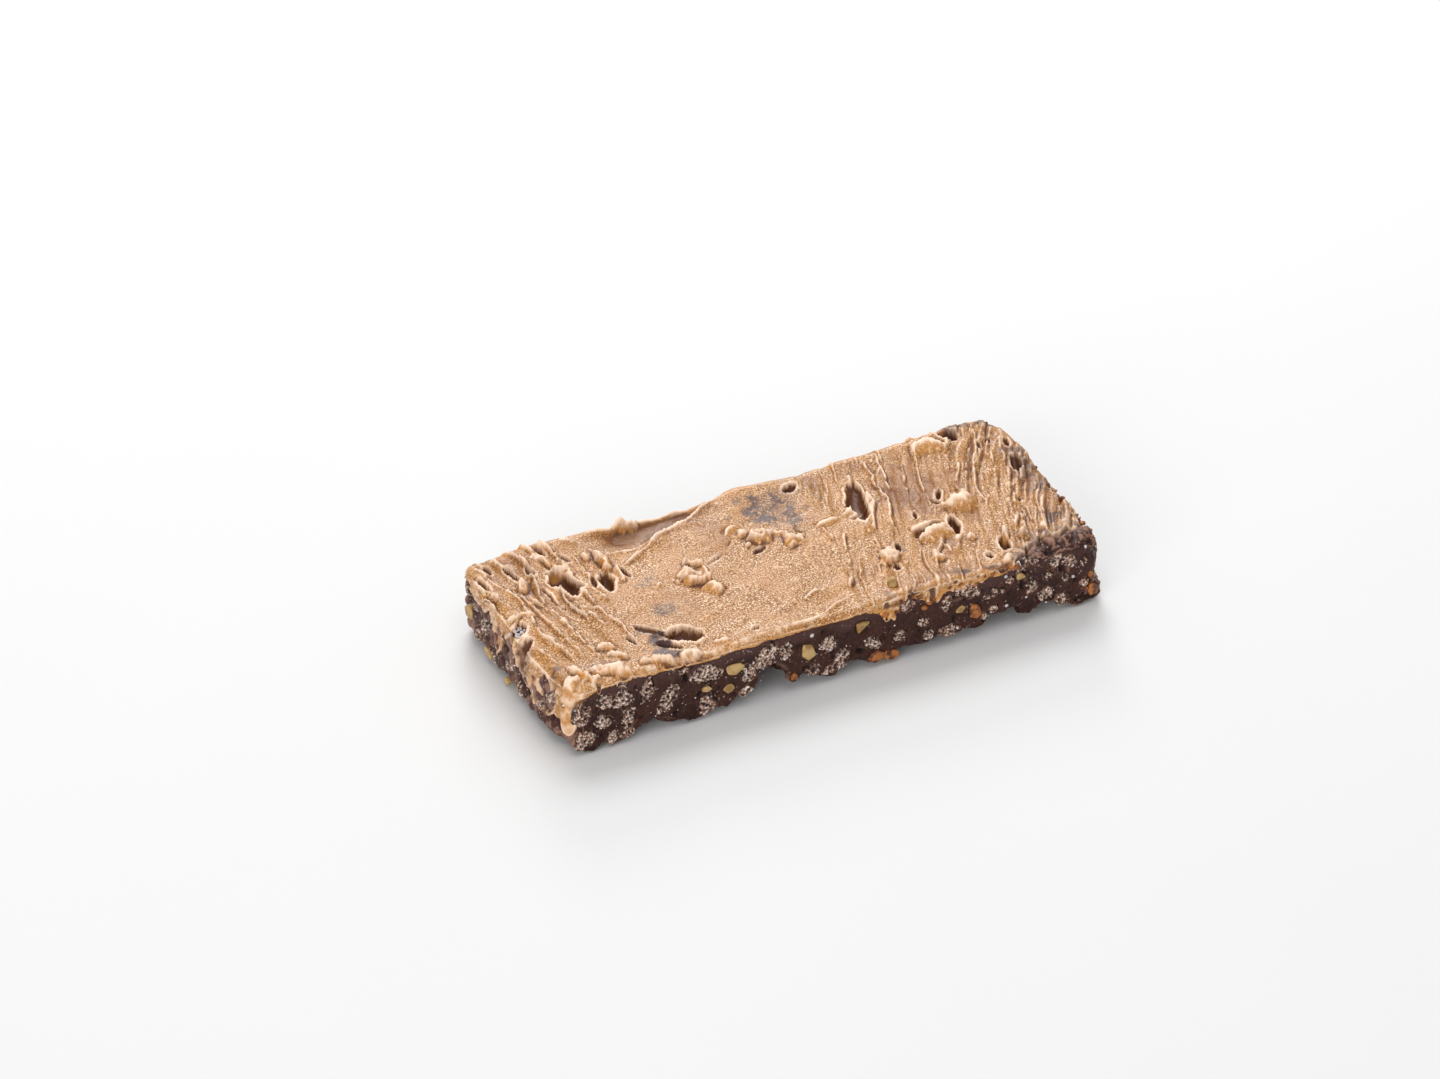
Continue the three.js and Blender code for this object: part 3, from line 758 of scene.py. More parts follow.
def slab_mesh():
    """The slab: its core and coated grains melted together, made rough, cut flush and marked for looks."""
    bm = bmesh.new()
    bmesh.ops.create_cube(bm, size=2)
    bmesh.ops.subdivide_edges(bm, edges=bm.edges[:], cuts=CORE_CUTS, use_grid_fill=True)
    raw = np.array([v.co[:] for v in bm.verts])
    for vertex, place in zip(bm.verts, core_form(raw)):
        vertex.co = place
    underside_grains(bm)
    end_grains(bm, -1, LEFT_END)
    end_grains(bm, 1, RIGHT_END)
    bank_lumps(bm)
    mesh = melted(bm, VOXEL)
    points, normals = places(mesh), outward(mesh)
    out_of_face = 1 - np.abs(normals[:, 1]) ** 4
    bare = smooth(0, 1.5, along_list(points[:, 0], BANK_LINE) - points[:, 1]) * (points[:, 0] > 31)
    under_cream = smooth(10.8, 11.2, points[:, 2]) * (1 - bare)
    rise = (0.30 + 0.3 * bare * (points[:, 2] > SLAB_TOP - 1)) * (1 - 0.8 * under_cream)
    relief = (rise * crumble(points, 1.9, 21) + 0.45 * bare * crumble(points, 1.4, 23)) * out_of_face
    points = knife_cut(points + normals * relief[:, None])
    inside = (under_cream > 0.5) & (points[:, 1] > -19.8)
    ceiling = SLAB_TOP + 0.05 - dent(*points.T[:2]) - 0.5 * smooth(18.0, 19.5, points[:, 1])
    points[:, 2] = np.where(inside, np.minimum(points[:, 2], ceiling), points[:, 2])
    put(mesh, points)
    slab_looks(mesh, bare)
    return mesh


def slab_looks(mesh, bare):
    """Marks where the slab is rough, where raised points get a painted highlight and the left end pale smears
    of cream, where hollows get painted shade, and where it is dull with bloom near the top and has a painted
    sheen on the left end.
    """
    raised = stand_out(mesh, 5)
    points = places(mesh)
    cut = smooth(0.8, 0.95, np.abs(outward(mesh)[:, 1])) * smooth(20.2, 20.6, np.abs(points[:, 1]))
    off_end = smooth(-48.6, -50.0, points[:, 0])
    crumbly = most(0.8 * smooth(-0.3, 0.5, hills(points, 5.0, 24)), 0.45 * bare, 0.7 * off_end)
    smeared = 0.8 * off_end * smooth(-0.1, 0.5, crumble(points, np.array([1.0, 1.2, 3.4]), 27))
    # Painted highlight on raised points, strongest on the left end and the bank.
    crest = (0.6 + 0.4 * np.maximum(off_end, bare)) * smooth(0.09, 0.26, raised) * (1 - cut)
    bloomed = smooth(9.5, 11.8, points[:, 2] + 1.6 * hills(points, 4.0, 25)) * (1 - 0.7 * bare)
    mark(mesh, "rough", (1 - cut) * crumbly + cut * 0.6 * smooth(0.05, 0.5, hills(points, 3.2, 26)))
    mark(mesh, "crest", np.maximum(crest, smeared))
    # Painted shade in the hollows.
    mark(mesh, "hollow", 0.95 * smooth(0.03, 0.26, -raised))
    # Bloom near the top, and a painted sheen over the left end.
    mark(mesh, "bloom", np.maximum(bloomed, 0.8 * off_end))


def knife_cut(points):
    """Cuts the two long sides flush, with seats for their pieces, and levels the feet."""
    x, y, z = points.T
    drag = 0.09 * hills(points, (5.0, 2.0, 1.2), 31) + 0.06 * crumble(points, 1.1, 32)
    chipped = 1.1 * np.maximum(crumble(points, 1.5, 34) - 0.6, 0)
    front = -CUT_FACE + drag + chipped
    back = CUT_FACE + drag - chipped
    for grain in FRONT_GRAINS:
        front = front + 0.8 * seat(x, z, grain)
    for nut in FRONT_NUTS + FRONT_ROASTED:
        front = front + 0.5 * seat(x, z, nut)
    for hole in FRONT_HOLES:
        front = front + hole[5] * seat(x, z, hole, (0.3, 1.1))
    for grain in BACK_GRAINS:
        back = back - 0.8 * seat(x, z, grain)
    near_front = (1 - smooth(0.0, 1.0, (y + HALF_WIDTH) / FEET_DEPTH)) * (y < -HALF_WIDTH + FEET_DEPTH)
    feet = (along_list(x, FRONT_FEET) + 0.25 * crumble(flat(x, y), 1.2, 33)) * near_front
    over = np.maximum(np.abs(x) - END_LIMIT, 0)
    x = x - np.sign(x) * (over - 0.45 * np.tanh(over / 0.8))
    return np.column_stack([x, np.clip(y, front, back), np.maximum(z, np.maximum(feet, 0.02))])


# The pieces in the faces.

# Steps of an open grain's grid for each millimetre: in the front face, in the left end, and out of sight.
FRONT_STEPS = 8.5
LEFT_STEPS = 8
HIDDEN_STEPS = 5

# The one nut that stands in the cream.
STANDING_NUT = (10.8, -17.6, 13.7)


def face_matrix(origin, along, out, turn):
    """Lays a piece's own axes into a face: its length along the face, turned, and its front outwards."""
    along, out = Vector(along), Vector(out)
    up = out.cross(along)
    angle = math.radians(turn)
    length = along * math.cos(angle) + up * math.sin(angle)
    height = up * math.cos(angle) - along * math.sin(angle)
    return Matrix.Translation(Vector(origin)) @ Matrix((length, height, out)).transposed().to_4x4()


def in_front(x, z, turn):
    """Where a piece lies in the front face."""
    return face_matrix((x, -CUT_FACE, z), (1, 0, 0), (0, -1, 0), turn)


def in_back(x, z, turn):
    """Where a piece lies in the back face."""
    return face_matrix((x, CUT_FACE, z), (-1, 0, 0), (0, 1, 0), turn)


def in_left_end(y, z, turn, sunk):
    """Where a piece lies in the broken left end."""
    return face_matrix((along_list(y, LEFT_END) + sunk, y, z), (0, -1, 0), (-1, 0, 0), -turn)


def in_right_end(y, z, turn):
    """Where a piece lies in the broken right end."""
    return face_matrix((along_list(y, RIGHT_END) - 0.6, y, z), (0, 1, 0), (1, 0, 0), turn)


def open_grain(rice, matrix, long, high, toast, fine, dome=0.3, thick=1.3):
    """One grain broken open: an uneven oval of foam with its bubbles sunk in, in its own axes. Its grid has
    so many steps for each millimetre."""
    steps = max(8, int(fine * long)), max(6, int(fine * high))
    bm = skirted_grid(*steps, 2)
    raw = np.array([v.co[:] for v in bm.verts])
    u, v, level = raw.T
    a, b = u * np.sqrt(1 - v * v / 2), v * np.sqrt(1 - u * u / 2)
    reach = np.hypot(a, b)
    shift = scatter.uniform(-20, 20, 3)
    outline = 1 + 0.26 * hills(flat(a, b) / np.maximum(reach, 0.05)[:, None] + shift, 0.7, 41)
    a, b = a * outline, b * outline
    shrink = np.where(level < -1.5, 0.6, 1.0)
    a, b = a * shrink * long / 2, b * shrink * high / 2
    spot = flat(a, b) + shift
    large = smooth(0.3, 0.8, bubbles(spot, 0.85, 42))
    small = smooth(0.4, 0.9, bubbles(spot, 0.5, 43))
    walls = 1 - np.maximum(large, 0.6 * small)
    walls *= smooth(-0.85, -0.1, hills(spot, 0.6, 44) + 0.6 * hills(spot, 1.3, 45))
    inside = 1 - smooth(0.75, 1.0, reach + 0.35 * hills(spot, 0.7, 46) + 0.25 * hills(spot, 0.33, 47))
    out = dome * (1 - reach**2) + 0.45 * walls * inside - 0.35
    out -= 0.25 * (1 - inside)
    depth = np.where(level < -1.5, -thick, np.where(level < -0.5, -thick * 0.6, out))
    # Painted shade in the open bubbles, blending to chocolate at the rim and in patches.
    hollow = np.clip(1.05 - walls * (0.35 + 0.65 * inside), 0, 1)
    holes = bm.verts.layers.float.new("hollow")
    toasted = bm.verts.layers.float.new("toast")
    for vertex, where, hole in zip(bm.verts, np.column_stack([a, b, depth]), hollow):
        vertex.co = (matrix @ Vector(where)) * MM
        vertex[holes] = hole
        vertex[toasted] = toast
    gather(rice, bm)


def rice_mesh():
    """All the open grains as one mesh, with the finest grids where the bar is seen closest."""
    rice = bmesh.new()
    rice.verts.layers.float.new("hollow")
    rice.verts.layers.float.new("toast")
    for x, z, long, high, turn, toast in FRONT_GRAINS:
        open_grain(rice, in_front(x, z, turn), long, high, toast, FRONT_STEPS)
    for x, z, long, high, turn, toast in BACK_GRAINS:
        open_grain(rice, in_back(x, z, turn), long, high, toast, HIDDEN_STEPS)
    for y, z, long, high, turn, toast in LEFT_GRAINS:
        open_grain(rice, in_left_end(y, z, turn, 0.3), long, high, toast, LEFT_STEPS, dome=0.6, thick=2.0)
    for y in np.arange(-18, 19, 4.3):
        for z in RIGHT_ROWS:
            spot = y + random.uniform(-1.2, 1.2) + (z > RIGHT_ROWS[0]) * 2
            matrix = in_right_end(spot, z, random.uniform(0, 180))
            long, high, toast = random.uniform(3.6, 5.2), random.uniform(2.4, 3.2), random.random()
            open_grain(rice, matrix, long, high, toast, HIDDEN_STEPS, dome=0.6, thick=2.0)
    return mesh_from("puffed_rice", rice)


def nut_chunk(whole, matrix, long, high, corners, thick=2.6, soft=0.42, cut=True):
    """A chopped nut: a few flat faces with worn edges. Its front is flat where the knife went through."""
    bm = bmesh.new()
    for step in range(corners):
        angle = (step + random.uniform(-0.22, 0.22)) * math.tau / corners
        reach = random.uniform(0.86, 1.08) / 2
        rim = Vector((math.cos(angle) * long * reach, math.sin(angle) * high * reach, 0.12 if cut else 0))
        bm.verts.new(matrix @ rim)
        bm.verts.new(matrix @ Vector((rim.x * 0.8, rim.y * 0.8, -thick * random.uniform(0.5, 0.8))))
    for front in (() if cut else (1, -1)):
        tip = random.uniform(-0.4, 0.4), random.uniform(-0.4, 0.4), front * thick / 2
        bm.verts.new(matrix @ Vector(tip))
    bmesh.ops.convex_hull(bm, input=bm.verts[:])
    bmesh.ops.delete(bm, geom=[v for v in bm.verts if not v.link_faces], context="VERTS")
    bmesh.ops.dissolve_limit(bm, angle_limit=0.12, verts=bm.verts[:], edges=bm.edges[:])
    worn = {"offset": soft, "segments": 3, "profile": 0.5, "material": -1, "clamp_overlap": True}
    bmesh.ops.bevel(bm, geom=bm.edges[:], affect="EDGES", **worn)
    bmesh.ops.scale(bm, verts=bm.verts[:], vec=(MM, MM, MM))
    bmesh.ops.recalc_face_normals(bm, faces=bm.faces[:])
    gather(whole, bm)


def nuts_mesh():
    """All the pale nuts as one mesh: in the cut faces and the left end, and one that stands in the cream."""
    nuts = bmesh.new()
    for x, z, long, high, turn, corners in FRONT_NUTS:
        nut_chunk(nuts, in_front(x, z, turn), long, high, corners)
    for x, z, long, high, turn, corners in BACK_NUTS:
        nut_chunk(nuts, in_back(x, z, turn), long, high, corners)
    for y, z, long, high, turn, corners in LEFT_NUTS:
        nut_chunk(nuts, in_left_end(y, z, turn, -0.3), long, high, corners)
    standing = face_matrix(STANDING_NUT, (1, 0, 0), (0, -1, 0), 70)
    nut_chunk(nuts, standing, 2.6, 2.0, 5, thick=1.8, cut=False)
    return mesh_from("chopped_nuts", nuts)


def rim_bits():
    """Dark bits along the cream's right end, at its back corner and in its torn front edge, and a column of
    them at the front right corner. Each is its place and size."""
    bits = []
    for y in np.arange(-18.6, 20.0, 1.7):
        x = along_list(y, RIGHT_END) - random.uniform(0.3, 0.8)
        bits.append((x, y + random.uniform(-0.7, 0.7), random.uniform(11.7, 12.6), random.uniform(0.6, 1.6)))
    for x in np.arange(36.0, 50.6, 1.3):
        bits.append((x, random.uniform(19.9, 20.3), random.uniform(12.6, 13.4), random.uniform(0.7, 1.5)))
    for x in np.arange(6.5, 33.0, 1.1):
        z = min(along_list(x, FRONT_RIM) + random.uniform(0.0, 1.9), 12.5)
        at_x, at_y = x + random.uniform(-0.4, 0.4), random.uniform(-21.0, -20.7)
        bits.append((at_x, at_y, z, random.uniform(0.6, 1.5)))
    for z in (4.8, 6.4, 8.0, 9.6, 11.0):
        bits.append((random.uniform(48.4, 49.4), -19.2, z, random.uniform(1.0, 1.8)))
    return bits


def roasted_mesh():
    """All the dark and orange-brown bits, as one mesh."""
    bits = bmesh.new()
    for x, z, long, high, turn, corners in FRONT_ROASTED:
        nut_chunk(bits, in_front(x, z, turn), long, high, corners)
    for x, y, z, size in rim_bits():
        matrix = face_matrix((x, y, z), (0, 1, 0), (1, 0, 0), random.uniform(0, 180))
        nut_chunk(bits, matrix, size, 0.75 * size, 5, thick=0.8 * size, soft=0.12, cut=False)
    return mesh_from("roasted_bits", bits)


# The cream.

# Height of the cream's top along the back edge and along the front edge, as place along the bar and height.
BACK_HEIGHTS = [
    (-52, 12.4), (-46, 13.3), (-40, 13.7), (-30, 13.5), (-25, 13.1), (-21, 12.6), (-15, 12.2),
    (-11, 12.3), (-5, 13), (0, 13.9), (5, 13.6), (12, 13), (20, 13.4), (30, 13.6), (38, 14.2), (45, 14),
    (50, 13.4), (53, 12.8),
]
FRONT_HEIGHTS = [
    (-50, 13), (-45, 13.5), (-35, 13.5), (-25, 13), (-20, 13.3), (-10, 13.4), (-5, 13.1), (0, 13),
    (5, 13.5), (12, 14), (20, 13.9), (25, 13.5), (30, 13.2), (36, 13.2), (50, 13),
]
MIDDLE_HEIGHT = 12.95

# Blobs and rolls: place, length, width, height, turn in degrees, and how far the crest leans to its left.
CREAM_LUMPS = [
    (-18.2, 0.0, 5.0, 4.2, 1.25, 75, -0.3),
    (-15.9, 2.9, 3.0, 1.4, 0.9, -50, 0.3),
    (-24.0, 0.6, 1.6, 1.4, 0.7, 0, 0.0),
    (-2.9, 5.6, 4.6, 4.0, 1.5, 5, 0.5),
    (-4.8, 7.8, 3.4, 1.8, 0.8, 35, 0.2),
    (-5.4, 4.4, 2.6, 1.4, 0.5, 40, 0.0),
    (2.6, 2.2, 4.4, 3.4, 1.0, 30, 0.2),
    (-29.6, 11.2, 6.0, 2.2, 1.5, 98, 0.4),
    (-31.8, 13.4, 2.2, 1.6, 0.9, 100, 0.0),
    (-44.8, 10.5, 3.0, 2.4, 1.1, 80, 0.3),
    (-38.6, 15.2, 5.0, 1.8, 1.1, 122, 0.4),
    (-38.0, 11.6, 3.6, 1.8, 1.0, 5, 0.5),
    (14.4, -9.8, 4.8, 3.6, 1.3, 62, -0.2),
    (21.8, -13.4, 2.6, 2.2, 0.7, 20, 0.2),
    (29.8, -10.4, 2.2, 1.8, 0.7, 20, 0.0),
    (27.6, -9.8, 2.0, 1.2, 0.5, 60, 0.0),
    (35.4, -12.4, 4.4, 1.6, 1.1, 62, 0.5),
    (38.0, -13.7, 2.4, 2.0, 1.1, 30, 0.0),
    (42.6, -12.8, 1.8, 1.4, 0.9, 60, 0.0),
    (32.0, -19.0, 2.6, 1.6, 0.6, 30, 0.0),
    (-42.4, -18.2, 9.4, 1.9, 1.3, -33, 0.3),
    (-38.6, -14.8, 4.4, 1.5, 0.9, -60, 0.0),
    (-39.6, -11.4, 3.6, 2.2, 0.6, -20, 0.3),
    (-33.2, -19.4, 6.6, 1.4, 1.0, -22, 0.0),
    (-28.4, -19.4, 3.8, 2.6, 1.0, 0, 0.0),
    (-47.0, -16.2, 5.4, 1.6, 1.0, -70, 0.2),
    (-49.0, -18.0, 3.4, 2.4, 0.8, 40, 0.2),
    (-45.4, -19.0, 2.0, 1.6, 0.7, 0, 0.0),
    (-22.0, 19.6, 4.8, 2.0, 0.8, -18, 0.5),
    (-50.4, 2.4, 3.0, 1.8, 0.9, 20, 0.0),
    (-48.0, 2.6, 2.2, 1.6, 0.6, -20, 0.0),
    (46.6, -13.6, 2.6, 1.6, 0.5, 40, 0.0),
]

# Flaps torn up by the knife: place, length of the crest, run up to it, height, turn, and how much the crest
# bows.
CREAM_FLAPS = [
    (25.0, -7.7, 7.0, 5.4, 1.4, 10, 0.1),
    (24.6, -3.1, 6.4, 3.6, 1.0, 186, 0.1),
    (33.7, -1.2, 6.6, 6.8, 1.7, 18, 0.75),
    (36.2, 16.2, 6.8, 5.4, 1.3, -12, -0.6),
    (-16.9, -4.8, 3.8, 4.4, 1.1, -62, -0.3),
    (-41.2, 5.4, 5.6, 2.0, 0.5, 96, 0.0),
    (10.0, 4.4, 5.0, 2.2, 0.6, 10, 0.0),
    (14.9, 5.6, 3.2, 1.6, 0.8, 20, 0.4),
    (-6.0, 9.4, 4.2, 2.6, 0.5, 30, -0.4),
    (1.0, 5.2, 3.4, 2.0, 0.5, -20, 0.0),
    (-22.0, -18.6, 3.0, 1.8, 0.5, -20, 0.0),
    (47.8, 3.0, 3.0, 1.8, 0.5, 60, 0.0),
]

# Pits torn in the cream: place, length, width, depth and turn.
CREAM_PITS = [
    (-38.3, 8.0, 8.0, 4.0, 1.9, 102),
    (-31.4, 5.8, 5.4, 2.6, 1.9, 78),
    (-33.4, 6.4, 3.2, 1.1, 0.8, 75),
    (-27.4, 6.8, 3.4, 0.9, 0.8, 95),
    (-26.4, -13.6, 6.6, 3.8, 1.6, -32),
    (-29.8, -15.4, 4.6, 2.0, 1.1, -40),
    (-31.4, -10.2, 4.2, 1.8, 0.5, -48),
    (17.6, 8.6, 10.4, 3.4, 1.5, 72),
    (16.6, 3.8, 4.6, 2.2, 1.6, 60),
    (15.0, 3.6, 2.2, 1.2, 1.2, 10),
    (29.3, -5.4, 5.8, 1.8, 1.6, 74),
    (31.5, 4.0, 3.4, 0.9, 1.1, 60),
    (35.0, 2.4, 2.6, 1.2, 1.2, 20),
    (34.0, -14.4, 4.6, 2.1, 1.5, 64),
    (29.8, -16.8, 2.0, 1.3, 1.3, 70),
    (32.6, -17.6, 1.6, 0.8, 1.0, 30),
    (41.0, 18.6, 4.2, 2.4, 1.5, 135),
    (34.4, 20.2, 3.2, 1.0, 0.8, 20),
    (48.4, 6.4, 4.8, 1.8, 1.2, 75),
    (50.0, 12.6, 3.0, 1.1, 0.9, 75),
    (9.1, 17.0, 3.0, 2.0, 1.3, 30),
    (-50.6, 13.4, 3.8, 1.0, 1.2, 100),
    (-48.1, 17.6, 2.8, 0.9, 1.0, 95),
    (-44.9, 14.2, 5.4, 1.0, 1.1, 108),
    (-41.9, 13.6, 2.8, 1.3, 1.3, 100),
    (-38.4, 18.2, 4.0, 1.2, 1.1, 100),
    (-35.2, 14.8, 2.8, 1.0, 0.8, 120),
    (-50.2, -0.6, 3.2, 2.2, 1.4, 60),
    (-51.0, -4.6, 3.4, 2.0, 1.0, 30),
    (-35.0, -11.8, 3.2, 0.8, 0.8, 108),
    (-12.2, 3.5, 4.6, 0.5, 1.0, 22),
    (-8.0, 6.4, 1.4, 0.5, 0.6, 30),
    (-15.2, -17.8, 1.8, 0.7, 0.9, 25),
    (-4.2, 2.4, 3.0, 1.2, 0.6, 10),
    (17.2, -7.4, 2.8, 1.0, 1.2, 70),
    (14.2, -12.6, 2.2, 1.6, 0.9, 60),
    (44.8, 13.4, 2.4, 0.9, 0.8, 65),
    (47.2, 14.6, 2.2, 1.0, 0.8, 60),
    (43.6, -3.0, 1.4, 0.8, 0.8, 60),
    (24.6, 0.0, 2.4, 0.7, 0.6, 65),
    (-41.2, 1.4, 1.0, 0.8, 0.8, 80),
    (-45.2, -20.6, 1.4, 0.8, 0.9, 40),
]

# Ridges that the palette knife pushed up: height, half width, and the places they run through.
SWOOSH = [(-28, 8), (-22, 11.4), (-18, 14), (-10, 17), (-3, 20.5)]
CREAM_RIDGES = [
    (0.65, 0.45, SWOOSH),
    (0.45, 0.4, [(-31, 14), (-27, 13), (-22, 12.8), (-18, 14.2)]),
    (0.55, 0.4, [(-4.8, -14.0), (-2.6, -13.0), (-0.6, -12.3)]),
    (0.35, 0.5, [(-10, -20), (-4, -19.4), (0, -17.5), (5, -16)]),
    (0.6, 0.35, [(11.5, 0.5), (9.5, -3), (8, -7), (5.8, -12), (4, -15)]),
    (0.9, 0.4, [(19, 16), (20.6, 12), (19.6, 6), (16.5, 0), (13.6, -8)]),
    (0.6, 0.35, [(24.6, 19), (23, 12), (22.5, 6), (20, 0), (18.4, -8)]),
    (0.5, 0.3, [(27.5, 20), (25.5, 13), (24.5, 8)]),
    (0.6, 0.35, [(33, 5), (30.4, 0), (28.2, -4)]),
    (0.6, 0.35, [(39.5, 11), (36, 5), (33.4, 1)]),
    (0.6, 0.35, [(46, 3), (43, -3), (40, -9), (38, -12)]),
    (0.45, 0.3, [(41, 8), (38.5, 3), (37.4, -3)]),
    (0.55, 0.35, [(33, 21.5), (31.4, 17)]),
    (0.55, 0.35, [(26, 21), (25.5, 17)]),
    (0.5, 0.3, [(8.4, 4), (8.6, -1)]),
    (0.5, 0.4, [(22.6, -8), (25, -11), (24.6, -13)]),
    (0.7, 0.4, [(-51.6, 17), (-51.2, 12), (-51.4, 6), (-51.6, 0)]),
    (0.8, 0.35, [(-48.2, 11), (-47.2, 7), (-46.8, 3), (-47.6, -4), (-46.4, -11)]),
    (0.8, 0.4, [(-45.6, 7), (-43.5, 2), (-43, -2), (-41.5, -10)]),
    (0.8, 0.4, [(-40.6, 8), (-38.9, 3), (-38.6, -2), (-37, -7)]),
    (0.8, 0.4, [(-36.4, 14), (-35.6, 8), (-34.2, 3), (-33.5, 0)]),
    (0.75, 0.35, [(-37, 1), (-35.8, -4), (-34.8, -8), (-34, -12.6)]),
    (0.7, 0.35, [(-46.6, 20), (-45, 15), (-44.4, 12)]),
    (0.7, 0.35, [(-43, 20), (-42, 16), (-40.6, 12)]),
    (0.7, 0.35, [(-50, 19), (-48.6, 15)]),
    (0.6, 0.35, [(-38, 20.5), (-36.4, 18), (-36.6, 15)]),
    (0.6, 0.35, [(-33.6, 20), (-31, 18)]),
    (0.55, 0.3, [(-28, 9), (-28.8, 4)]),
    (0.6, 0.35, [(-16.8, 4.2), (-15.6, 3.6), (-15.2, 1), (-16.2, -1.4)]),
    (0.45, 0.4, [(-10.2, 16), (-9.6, 12), (-10.4, 7)]),
]

# Where the cream is so thin that chocolate shows through: place, half sizes, and how strongly.
THIN_SPOTS = [
    (-26.6, -5.6, 2.4, 2.0, 0.7),
    (-26.2, 2.0, 2.0, 1.4, 0.45),
    (7.0, 15.8, 3.4, 2.2, 0.9),
    (3.4, 12.6, 6.4, 5.6, 1.0),
    (-31.6, -10.4, 2.2, 1.4, 0.6),
    (-30.6, -14.0, 3.0, 3.6, 1.2),
    (-30.6, -18.0, 2.0, 1.8, 1.0),
    (46.4, -10.6, 3.2, 2.8, 0.75),
    (-43.0, -15.6, 2.2, 0.7, 0.7),
    (-36.0, -0.4, 0.8, 1.4, 0.5),
    (-8.8, -15.4, 0.8, 0.6, 0.7),
    (17.4, -7.2, 0.8, 1.6, 0.7),
    (39.8, -13.6, 1.8, 1.0, 0.4),
    (49.4, 2.0, 3.0, 12.0, 0.65),
    (46.8, 19.8, 5.6, 1.6, 0.7),
    (41.5, 19.0, 2.6, 2.0, 0.6),
    (-51.4, -5.4, 1.2, 2.6, 0.8),
    (-49.6, -14.4, 2.0, 2.6, 0.7),
    (51.4, 19.4, 1.6, 1.6, 0.9),
    (22.8, -19.3, 2.0, 0.9, 0.8),
    (13.2, -20.4, 1.0, 0.9, 0.7),
    (28.2, -20.2, 1.5, 0.7, 0.6),
]

# Where the cream is a deeper brown, in the same way. Most are its own darker tone. The first two, in the
# recess behind the swoosh, and those beside the pit at (9, 17), in front of the lump at (-2.9, 5.6), and on
# and in front of the flaps at (25, -7.7) and (33.7, -1.2), are painted shade.
DEEP_TONE_AND_SHADE_SPOTS = [
    (-17.0, 18.0, 14.0, 3.0, 1.0),
    (-20.0, 16.0, 12.0, 3.4, 0.75),
    (27.5, 7.5, 7.5, 10.0, 0.85),
    (13.0, 16.5, 1.8, 4.0, 0.7),
    (20.0, 18.0, 6.0, 3.0, 0.4),
    (-45.0, 16.0, 7.0, 4.5, 0.45),
    (-42.0, 3.0, 5.0, 7.0, 0.35),
    (-9.0, 10.5, 4.0, 7.0, 0.45),
    (-4.0, 2.8, 1.8, 1.6, 0.8),
    (8.5, -11.5, 3.0, 3.0, 0.45),
    (33.4, -4.0, 2.0, 3.0, 0.7),
    (26.4, -10.2, 1.8, 2.2, 0.6),
    (48.4, 2.0, 3.0, 13.0, 0.5),
    (19.0, -17.0, 11.0, 2.0, 0.35),
    (-24.0, -6.0, 5.0, 6.0, 0.25),
    (36.0, 7.0, 2.0, 6.0, 0.4),
]

# Towards the light in plan: that side of a lump gets a painted highlight, and the other golden painted shade.
LIT_SIDE = (0.35, 0.94)


def in_oval(x, y, place_x, place_y, long, wide, turn, fray):
    """Places along and across an oval from -1 to 1, and how far out points are in it, with a frayed rim."""
    cos, sin = math.cos(math.radians(turn)), math.sin(math.radians(turn))
    along = ((x - place_x) * cos + (y - place_y) * sin) / (long / 2)
    across = ((y - place_y) * cos - (x - place_x) * sin) / (wide / 2)
    return along, across, np.hypot(along, across) * (1 + fray)


def off_line(x, y, line):
    """Distance from a line through places, the side of it (1 is left), and how far along it from 0 to 1."""
    best = np.full(len(x), 1e9)
    side = np.ones(len(x))
    share = np.zeros(len(x))
    for step, ((ax, ay), (bx, by)) in enumerate(zip(line, line[1:])):
        dx, dy = bx - ax, by - ay
        t = np.clip(((x - ax) * dx + (y - ay) * dy) / (dx * dx + dy * dy), 0, 1)
        gap = np.hypot(x - ax - t * dx, y - ay - t * dy)
        closer = gap < best
        best = np.where(closer, gap, best)
        side = np.where(closer, np.sign(dx * (y - ay) - dy * (x - ax)), side)
        share = np.where(closer, (step + t) / (len(line) - 1), share)
    return best, side, share


def strokes(x, y, lean, width, length, seed):
    """Bands that a palette knife leaves side by side: smooth, each at its own level, some with a torn lip."""
    spot = flat(x, y)
    across = (x - y * np.tan(lean)) / width + 0.75 * hills(spot, (2.2 * width, 16.0, 1.0), seed)
    across = across + 0.05 * crumble(spot, 1.6, seed + 1)
    number = np.floor(across)
    part = across - number
    here = hills(flat(number * 1.37, y), (1.0, length, 1.0), seed + 2)
    beyond = hills(flat(number * 1.37 + 1.37, y), (1.0, length, 1.0), seed + 2)
    over = smooth(1 - 0.5 / width, 1, part)
    level = here * (1 - over) + beyond * over
    torn = smooth(0.0, 0.45, hills(flat(number * 1.37, y), (1.0, 0.7 * length, 1.0), seed + 3))
    lip = (bell((1 - part) * width / 0.6) * (part > 0.5) + bell(part * width / 0.2) * (part < 0.5)) * torn
    return 0.6 * level + lip * np.clip(0.5 + 0.8 * crumble(spot, 2.3, seed + 4), 0, 1.3)


